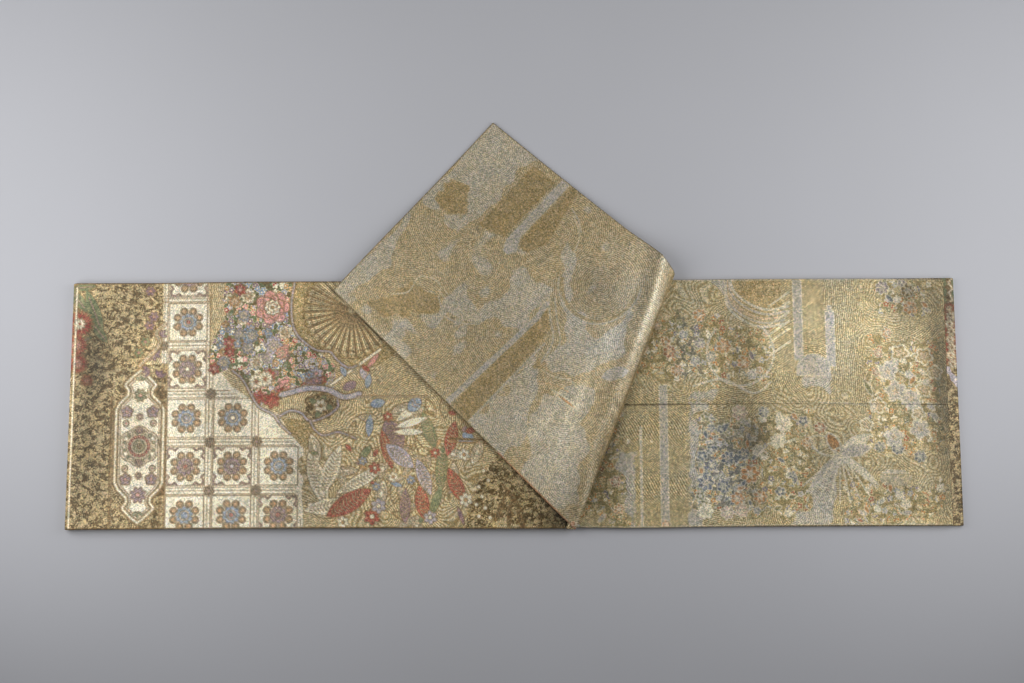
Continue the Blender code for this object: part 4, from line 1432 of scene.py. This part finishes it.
leaves(
    cloth, ("blue", -213, 41, 17, 4, -1.2), ("silver", -188, 38, 20, 4.5, -1.3),
    ("blue", -182, 28, 20, 4.5, 1.4), ("mauve", -205, 22, 20, 6, 0.5),
    ("pink", -176, 54, 26, 3.4, 0.9), ("red", -185, 44, 14, 3, 2.5),
)
for points, width in (
    ([(-352, 42), (-338, 29), (-320, -2), (-301, -13), (-290, -27), (-278, -38)], 2.6),
    ([(-275, 156), (-279, 130), (-278, 105), (-272, 88), (-260, 76), (-246, 67), (-230, 65),
      (-221, 55), (-207, 45), (-196, 48)], 2.8),
    ([(-292, -16), (-279, -9), (-265, -12), (-254, -22), (-234, -16), (-220, -5), (-219, 6),
      (-204, 8)], 3),
    ([(-254, -22), (-248, -33), (-237, -40), (-220, -36), (-206, -40), (-197, -44)], 2.6),
    ([(-290, 11), (-257, 19), (-232, 17), (-212, 8), (-193, 12)], 7),
):
    weave_in(cloth, "brown", line(curved(points), width + 1.8))
    weave_in(cloth, "silver", line(curved(points), width))

# A square patch of leaves, plumes and small flowers.
weave_in(cloth, "red", line([(-196, 9.5), (-108, 9.5)], 0.8))
weave_in(cloth, "cream", line([(-196, 8), (-104, 8)], 1.4))
weave_in(cloth, "scroll", field([
    (-258, -156), (-266, -100), (-262, -50), (-200, 2), (-108, 4), (-30, -90), (-60, -156),
]), ragged=(12, 6, 8))
PATCH_LEAVES = (
    ("cream", -244, -95, 74, 11, 1.9), ("cream", -228, -84, 70, 10, 1.2),
    ("cream", -232, -128, 60, 9, 0.2), ("red", -205, -124, 66, 12, 0.55),
    ("cream", -190, -96, 70, 8, 0.5), ("red", -172, -62, 12, 3, 1.0),
    ("mauve", -150, -40, 44, 13, -1.1), ("red", -158, -58, 52, 7, -1.3),
    ("mauve", -135, -128, 46, 7, 1.57), ("red", -114, -124, 44, 9, 1.75),
    ("green", -106, -34, 52, 8, 1.9), ("green", -90, -82, 60, 8, 1.5),
    ("green", -97, -122, 42, 6, 1.2), ("red", -78, -44, 46, 8, 1.35),
    ("red", -72, -102, 48, 9, 2.0), ("cream", -132, -12, 40, 5, 0.6),
    ("cream", -128, -24, 42, 5, 0.3), ("cream", -131, -36, 38, 4.5, 0.0),
    ("blue", -170, 0, 20, 6, 0.2), ("blue", -180, -28, 30, 5, 1.5), ("blue", -124, -2, 22, 8, 0.8),
    ("mauve", -66, -140, 26, 3, 1.9), ("blue", -57, -42, 18, 6, -0.6),
    ("red", -54, -34, 14, 4, 0.2), ("silver", -142, -66, 46, 10, -0.7),
    ("silver", -112, -92, 50, 8, -1.2), ("green", -185, -62, 24, 5, 0.9),
)
chance = np.random.default_rng(17)
for k in range(60):
    x0, y0 = chance.uniform(-262, -40), chance.uniform(-154, 4)
    length, turn = chance.uniform(16, 40), chance.uniform(0, 3.1)
    if x0 > -262 + 0.25 * abs(y0 + 60) and x0 - y0 < 50:
        at = ((x0, y0), length, turn)
        shape = leaf(length, 0.2 * length)
        if k % 3:
            weave_in(cloth, "cream", shape, *at)
            for inner in (0.66 * length, 0.36 * length):
                weave_in(cloth, "brown", drawn(leaf(inner, 0.2 * inner), 0.6), *at)
        weave_in(cloth, "brown", drawn(shape, 0.9), *at)
for k in range(22):
    x0, y0 = chance.uniform(-250, -50), chance.uniform(-152, 0)
    if x0 - y0 < 40:
        ink = ("blue", "red", "green", "mauve", "orange", "silver")[k % 6]
        shape = leaf(chance.uniform(8, 17), chance.uniform(2, 3.6))
        weave_in(cloth, ink, shape, (x0, y0), 16, chance.uniform(0, 3.1))
for ink, x0, y0, length, width, turn in PATCH_LEAVES:
    leaves(cloth, (ink, x0, y0, length, width, turn))
    if width >= 7:
        veins = "cream" if ink != "cream" else "brown"
        for k in range(int(length / 4.4) - 3):
            across_leaf = (k + 2) * 4.4 - length / 2
            reach_out = 0.62 * width * (1 - (2 * across_leaf / length) ** 2)
            for side in (-1, 1):
                vein = [(across_leaf, 0.8 * side), (across_leaf + 3, side * reach_out)]
                weave_in(cloth, veins, line(vein, 0.7), (x0, y0), length, turn)
for x0, y0, radius, ink in (
    (-157, -17, 7, "red"), (-173, -81, 8, "red"), (-176, -141, 11, "red"), (-98, -62, 7, "red"),
    (-171, -104, 6, "blue"), (-188, -72, 6, "blue"), (-168, -128, 10, "silver"),
    (-104, -142, 9, "silver"), (-62, -64, 8, "cream"), (-60, -120, 9, "cream"),
    (-212, -148, 8, "cream"), (-150, -92, 7, "cream"), (-128, -96, 6, "blue"),
):
    blossom(cloth, (x0, y0), radius, ink, heart_of(ink), 6, radius)
weave_in(cloth, "foliage", field([
    (-62, -156), (-50, -112), (-36, -86), (-20, -64), (140, -64), (140, -156),
]), ragged=(9, 7, 4))
leaves(
    cloth, ("brown", -18, -132, 34, 3, 1.2), ("brown", -6, -140, 34, 3, 1.5),
    ("brown", 8, -146, 30, 3, 1.9), ("brown", -2, -118, 40, 3, 2.2),
)
for x0, y0 in (
    (-44, -104), (-40, -116), (-47, -126), (-36, -130), (-44, -140), (-30, -142), (-32, -96),
    (-38, -84),
):
    weave_in(cloth, "cream", disc(2.6), (x0, y0), 4)
weave_in(cloth, "orange", line([(-80, -48), (-30, -50)], 1.6))
weave_in(cloth, "brown", line([(-80, -44), (-34, -46)], 2.4))

# The strip beside the lattice has fine upright waves. Elsewhere lines ripple out from the motifs.
lines_round(cloth, [
    (-526, 100), (-500, -60), (-303, 121), (-330, 80), PIVOT, (-240, -2), (-219, -73), (-246, -90),
    (-170, -110), (-150, -40), (-100, -60), (-80, -120), (-120, -10), (-40, -20), (-60, 40),
    (-280, -60),
])
waved = field([(-385, 60), (-362, 60), (-364, 156), (-385, 156)])(*flat.T) < 0
cloth["hatch"] = np.where(fan_radius < FAN_RADIUS - 1, fan_lines, cloth["hatch"])
cloth["hatch"] = np.where(waved, flat[:, 0] + 1.5 * np.sin(flat[:, 1] / 3.5), cloth["hatch"])
# Soft spots of painted light and shade, partly lighter and darker tone of the weave, with a painted
# highlight along the left fold's rounded edge.
lighten(
    cloth,
    (1.1, -554, -20, 6, 190), (0.5, -540, 150, 30, 40), (-0.55, -524, 60, 34, 90),
    (-0.42, -530, -60, 50, 160), (0.4, -462, 62, 26, 60), (0.25, -450, 120, 22, 60),
    (-0.3, -470, -50, 44, 110), (0.34, -296, 58, 24, 40), (-0.2, -350, 24, 40, 40),
    (0.06, -427, 0, 26, 240), (-0.26, -360, -20, 60, 130), (0.22, -310, 118, 70, 60),
    (0.36, -276, 140, 26, 40), (-0.2, -250, 40, 50, 50), (-0.46, -266, -92, 40, 100),
    (-0.22, -232, -100, 40, 90), (0.3, -108, -90, 52, 120), (0.2, -205, 80, 50, 60),
    (0.5, -26, -140, 44, 50), (-0.62, 52, -146, 44, 50), (-0.28, -236, -4, 42, 42),
    (0.24, -214, 112, 60, 50), (0.16, -110, -90, 90, 110), (0.3, -105, -10, 40, 50),
)
# Painted shadow on the cloth along the flap's edge, and painted light that makes the near side a
# little brighter.
under_flap = line([(-228, 144), (74, -156)], 0)(*flat.T)
cloth["painted_light_and_tone"] -= 0.4 * smooth(1 - under_flap / 8)
cloth["painted_light_and_tone"] += 0.045 - 0.0008 * flat[:, 1]
# A cream line near the left end is a painted highlight along the left fold's rounded edge.
weave_in(cloth, "cream", line([(-551.5, -154), (-550.5, 20), (-549.5, 150)], 2.4))
weave_in(cloth, "brown", lambda x, y: EDGE_LINE - np.abs(y))
dye(top_face, flat, cloth)

for piece, node, material, slot in (
    (top_back, "top_back_cloth", lower_back_brocade, "back_brocade"),
    (top_face, "top_face_cloth", face_brocade, "face_brocade"),
):
    piece.data.materials.append(material)
    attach(piece, "root")
    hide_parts(node)


# ---- The turned-over end ---------------------------------------------------------------------
# The sash's end comes back over the top as a flap, back cloth up. It springs round a soft slanting
# fold, lies on the stack, and its corner reaches past the far long edge down to the surface.

# Where the flap comes down past the stack's far edge, and over what distance.
DROP_START = 160
DROP_RUN = 155
FLAP_RIDGES = (
    ((138, 122), (24, -66), 26, 3.2), ((-150, 106), (-20, 236), 34, 1.4),
    ((-96, 54), (70, 206), 30, 1.2), ((-20, 8), (66, 120), 24, 1.0),
    ((-190, 120), (-60, -10), 16, 0.8), ((40, 226), (150, 150), 20, 0.9),
)


def flap_height(x, y):
    """Height of the flap's middle: on the stack, then down to the surface."""
    lift = sum(ridge(x, y, *place) for place in FLAP_RIDGES)
    return lift + mix(level(4) + swell(x, y), level(0), smooth((y - DROP_START) / DROP_RUN))


def fold_axes(x, y):
    """Distances square to the slanting fold and along it."""
    return x * FOLD_OUT[0] + y * FOLD_OUT[1], x * FOLD_ALONG[0] + y * FOLD_ALONG[1]


def flap_middle(across, flat_rows, crest_rows, nose_rows):
    """The flap's middle and its flat places, from the sash's end, over the crest and the nose."""
    share = across / WIDTH
    setback, radius, slope, run, wide, height = fold_section(across)
    met = []
    for end, bend, back in zip(FLAP_END, FLAP_BEND, (FOLD_SETBACK[0], FOLD_SETBACK[-1])):
        (end_out, end_along), (bend_out, bend_along) = fold_axes(*end), fold_axes(*bend)
        part = (NOSE_OUT - back - end_out) / (bend_out - end_out)
        met.append(mix(end_along, bend_along, part))
    along = mix(*met, share)
    crest_out = NOSE_OUT - setback
    crest_x = crest_out * FOLD_OUT[0] + along * FOLD_ALONG[0]
    crest_y = crest_out * FOLD_OUT[1] + along * FOLD_ALONG[1]
    end_x, end_y = (mix(FLAP_END[0][i], FLAP_END[1][i], share) for i in (0, 1))
    length = np.hypot(crest_x - end_x, crest_y - end_y)
    lift = level(3) + swell(crest_x, crest_y) + height - flap_height(crest_x, crest_y)

    rim = np.array(EDGE_COLUMNS)[:, None]
    shares = np.linspace(0, 1, flat_rows)[:-1, None]
    s = np.concatenate([rim + 0 * length, mix(3.0, length, shares)])
    x, y = mix(end_x, crest_x, s / length), mix(end_y, crest_y, s / length)
    z = flap_height(x, y) + lift * smooth(1 - (length - s) / run)

    turn = np.linspace(0, 1, crest_rows)[:-1, None] * slope
    out = [-setback + wide * np.sin(turn)]
    up = [height - wide * (1 - np.cos(turn))]
    travelled = [wide * turn]
    turn = mix(slope, math.pi, np.linspace(0, 1, nose_rows)[:, None])
    out.append(-radius * (1 - np.sin(turn)))
    up.append(radius * (1 + np.cos(turn)))
    travelled.append(wide * slope + radius * (turn - slope))
    tuck = np.array([[2.0], [5.5], [FOLD_TUCK]])
    out.append(-radius - tuck)
    up.append(np.zeros_like(tuck) + 0 * across)
    travelled.append(wide * slope + radius * (math.pi - slope) + tuck)
    out, up, travelled = (np.concatenate(parts) for parts in (out, up, travelled))
    tucked_x, tucked_y = top_end(across)
    passed = travelled / travelled[-1]
    out = NOSE_OUT + out
    fold_along = mix(along, fold_axes(tucked_x, tucked_y)[1], passed)
    x = np.concatenate([x, out * FOLD_OUT[0] + fold_along * FOLD_ALONG[0]])
    y = np.concatenate([y, out * FOLD_OUT[1] + fold_along * FOLD_ALONG[1]])
    base = mix(swell(crest_x, crest_y), swell(tucked_x, tucked_y), passed)
    z = np.concatenate([z, level(3) + base + up])
    s = np.concatenate([s, length + travelled])
    t = np.broadcast_to(across - WIDTH / 2, s.shape)
    return np.stack([x, y, z], -1), np.stack([s, t], -1)


middle = flap_middle(across_steps(8), flat_rows=50, crest_rows=8, nose_rows=16)
flap_face, flat = cloth_shell("flap_face", *middle, DOWN)
dye(flap_face, flat)
middle = flap_middle(across_steps(1.6), flat_rows=236, crest_rows=13, nose_rows=30)
flap_back, flat = cloth_shell("flap_back", *middle, UP)

# The back's plainer end: broad slanting bars of gold and silver, a ringed disc, and grasses.
# Its design is laid from the sash's end, s, and across, t.
cloth = blank_design(flat)
SILVER_PARTS = (
    [(-2, 160), (74, 160), (76, 72), (73, 36), (70, 5), (40, 14), (10, 8), (-2, 20)],
    [(-2, -160), (22, -160), (30, -90), (14, -20), (-2, 0)],
    [(86, -156), (122, -156), (108, -128), (92, -126)],
    [(162, 30), (200, 36), (206, -20), (176, -40), (150, -84), (158, -10)],
    [(245, -160), (300, -160), (300, -110), (262, -60), (246, -40)],
    [(176, 96), (200, 52), (232, 30), (254, 10), (258, -30), (300, -30), (330, 40), (296, 80),
     (280, 36), (232, 36), (196, 92)],
    [(300, -28), (330, -20), (346, -60), (372, -70), (392, -120), (420, -156), (330, -156),
     (316, -118), (290, -80)],
    [(120, -70), (160, -62), (158, -52), (122, -56)],
)
patches(cloth, "tiles", SILVER_PARTS, 16, 11, 30)
s, t = flat.T
loose = 9 - 16 * np.abs(cloudy(flat, 24, 3)) + 0.04 * np.abs(s - 120)
cloth["tiles"] = np.minimum(cloth["tiles"], loose)

# The bars, with straight edges across the cloth: a silver one between two dark gold ones, then one
# dark gold bar between two silver lines.
weave_in(cloth, "bronze", field([(76, 117), (76, 146), (114, 146), (114, 48), (96, 40), (77, 36)]))
weave_in(cloth, "bronze", field([
    (130, 156), (143, 156), (161, 77), (150, 52), (136, 49), (130, 60),
]))
weave_in(cloth, "silver", field([
    (117, 160), (129, 160), (129, 60), (138, 44), (132, 33), (124, 33), (117, 48),
]))
weave_in(cloth, "bronze", field([
    (212, 14), (218, 16), (236, 0), (240, -30), (238, -158), (208, -158),
]))
weave_in(cloth, "silver", line([(211, 20), (214, 0), (204, -140), (202, -158)], 7))
weave_in(cloth, "silver", line([(243, -18), (239, -158)], 2.4))
weave_in(cloth, "bronze", field([
    (66, -76), (60, -100), (34, -140), (70, -140), (92, -110), (120, -80), (100, -64),
]), ragged=(8, 5, 6))
weave_in(cloth, "bronze", field([
    (8, 60), (34, 70), (58, 36), (40, 18), (14, 26),
]), ragged=(7, 4, 7))
weave_in(cloth, "bronze", field([(248, -32), (263, -44), (252, -50)]))

# The ringed disc beside the fold, drawn lines, a grass blade, and waves over the low corner.
for radius, width, ink, reach in ((47, 4, "bronze", 52), (51, 1.4, "silver", 54)):
    part = within(ring(radius, width), lambda x, y: y - 0.6 * x)
    weave_in(cloth, ink, part, (243, 82), reach)
for points, width, ink in (
    ([(60, -104), (72, -88), (69, -66), (80, -56), (96, -54), (104, -64)], 1.3, "cream"),
    ([(98, -60), (118, -62), (134, -60), (150, -58), (163, -54)], 1.2, "cream"),
    ([(104, -66), (126, -78), (146, -72), (166, -56)], 1.8, "silver"),
    ([(160, 126), (184, 110), (196, 82)], 1.2, "cream"),
    ([(152, 132), (168, 126), (182, 116)], 1.8, "silver"),
    ([(206, 30), (224, 12), (248, -8), (256, -38)], 1.9, "silver"),
    ([(214, 32), (234, 14), (256, -4), (262, -30)], 1.9, "silver"),
    ([(262, -44), (280, -40), (300, -30), (322, -34)], 1.3, "cream"),
    ([(268, -58), (286, -48), (306, -42)], 1.4, "orange"),
    ([(318, -66), (340, -72), (356, -96), (352, -124), (372, -140)], 1.2, "cream"),
    ([(306, -94), (330, -98), (342, -116), (338, -138)], 1.8, "silver"),
    ([(4, 120), (30, 100), (60, 96)], 2.0, "silver"),
):
    weave_in(cloth, ink, line(curved(points), width))
weave_in(cloth, "cream", leaf(48, 3.8), (310, -52), 28, 0.08)
weave_in(cloth, "orange", leaf(36, 1.6), (312, -52), 28, 0.08)
weave_in(cloth, "silver", leaf(13, 4.2), (95, -124), 8, 1.2)
weave_in(cloth, "silver", leaf(34, 8), (334, 12), 20, 1.0)

lines_round(cloth, [
    (246, 80), (95, -110), (60, 40), (160, 100), (310, -52), (330, 60), (380, -120), (120, 0),
    (280, -110), (20, 120), (200, -40),
])
bars = ((s > 74) & (s < 134) & (t > 20)) | ((s > 202) & (s < 242) & (t < 16))
cloth["hatch"] = np.where(bars, 0.55 * s + 0.85 * t, cloth["hatch"])
# Soft spots of painted light and shade, with a darker tone over the ringed disc.
lighten(
    cloth,
    (0.1, 20, 130, 60, 60), (-0.06, 110, 90, 60, 80), (-0.14, 150, -60, 80, 100),
    (-0.12, 225, -70, 60, 110), (0.36, 346, -84, 64, 110), (0.26, 310, 30, 34, 120),
    (0.22, 250, 120, 60, 60), (-0.14, 360, 60, 18, 160, 0.3), (-0.3, 246, 80, 52, 52),
    (0.12, 300, -100, 50, 60),
)
cloth["tint"] += 1.3 * smooth(1 - np.hypot((s - 290) / 110, (t - 90) / 130))
# Painted light over the whole flap, stronger near the fold at its upper part.
cloth["painted_light_and_tone"] += 0.08 + 0.12 * smooth((s - 230) / 50) * smooth((t + 60) / 80)
# The crest's line: places across, and its distance from the sash's end there.
CREST = (-141, -66, 30, 104, 156), (422, 374, 338, 308.5, 281)
# Past the crest the nose is drawn in dark gold, as painted warm shade where the roll turns under.
weave_in(cloth, "bronze", lambda x, y: 9 - x + np.interp(y, *CREST), ragged=(7, 2.5, 50))
for x0, y0 in ((436, -146), (429, -151), (441, -138), (420, -152), (446, -150)):
    weave_in(cloth, "red", disc(2.6), (x0, y0), 4)
# A dark brown line along the flap's long edges and its end: the seam's own brown, drawn darker, and
# wider at the end, as painted shade along the edges.
weave_in(cloth, "brown", lambda x, y: np.minimum(154 - np.abs(y), x - 1.8))
weave_in(cloth, "red", lambda x, y: np.maximum(y + 153.6, 290 - x))
from_crest = s - np.interp(t, *CREST)
high = smooth((t + 40) / 190)
# A painted highlight on the crest and painted shade beside it, in bands along it: place beside it,
# half width, and brightness at its low and high ends.
for place, width, low_end, high_end in (
    (-17, 15, -0.3, -0.26), (-8, 8, -0.2, -0.24), (0.5, 5, -0.04, 0.76), (11, 10, -0.48, -0.34),
):
    band = smooth(1 - np.abs(from_crest - place) / width)
    cloth["painted_light_and_tone"] += mix(low_end, high_end, high) * band
# The crest's painted highlight is also tinted paler and cooler.
cloth["tint"] += 0.9 * smooth(1 - np.abs(from_crest - 1) / 6)
dye(flap_back, flat, cloth)

for piece, node, material, slot in (
    (flap_face, "flap_face_cloth", lower_face_brocade, "face_brocade"),
    (flap_back, "flap_back_cloth", end_brocade, "back_brocade"),
):
    piece.data.materials.append(material)
    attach(piece, "root")
    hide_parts(node)
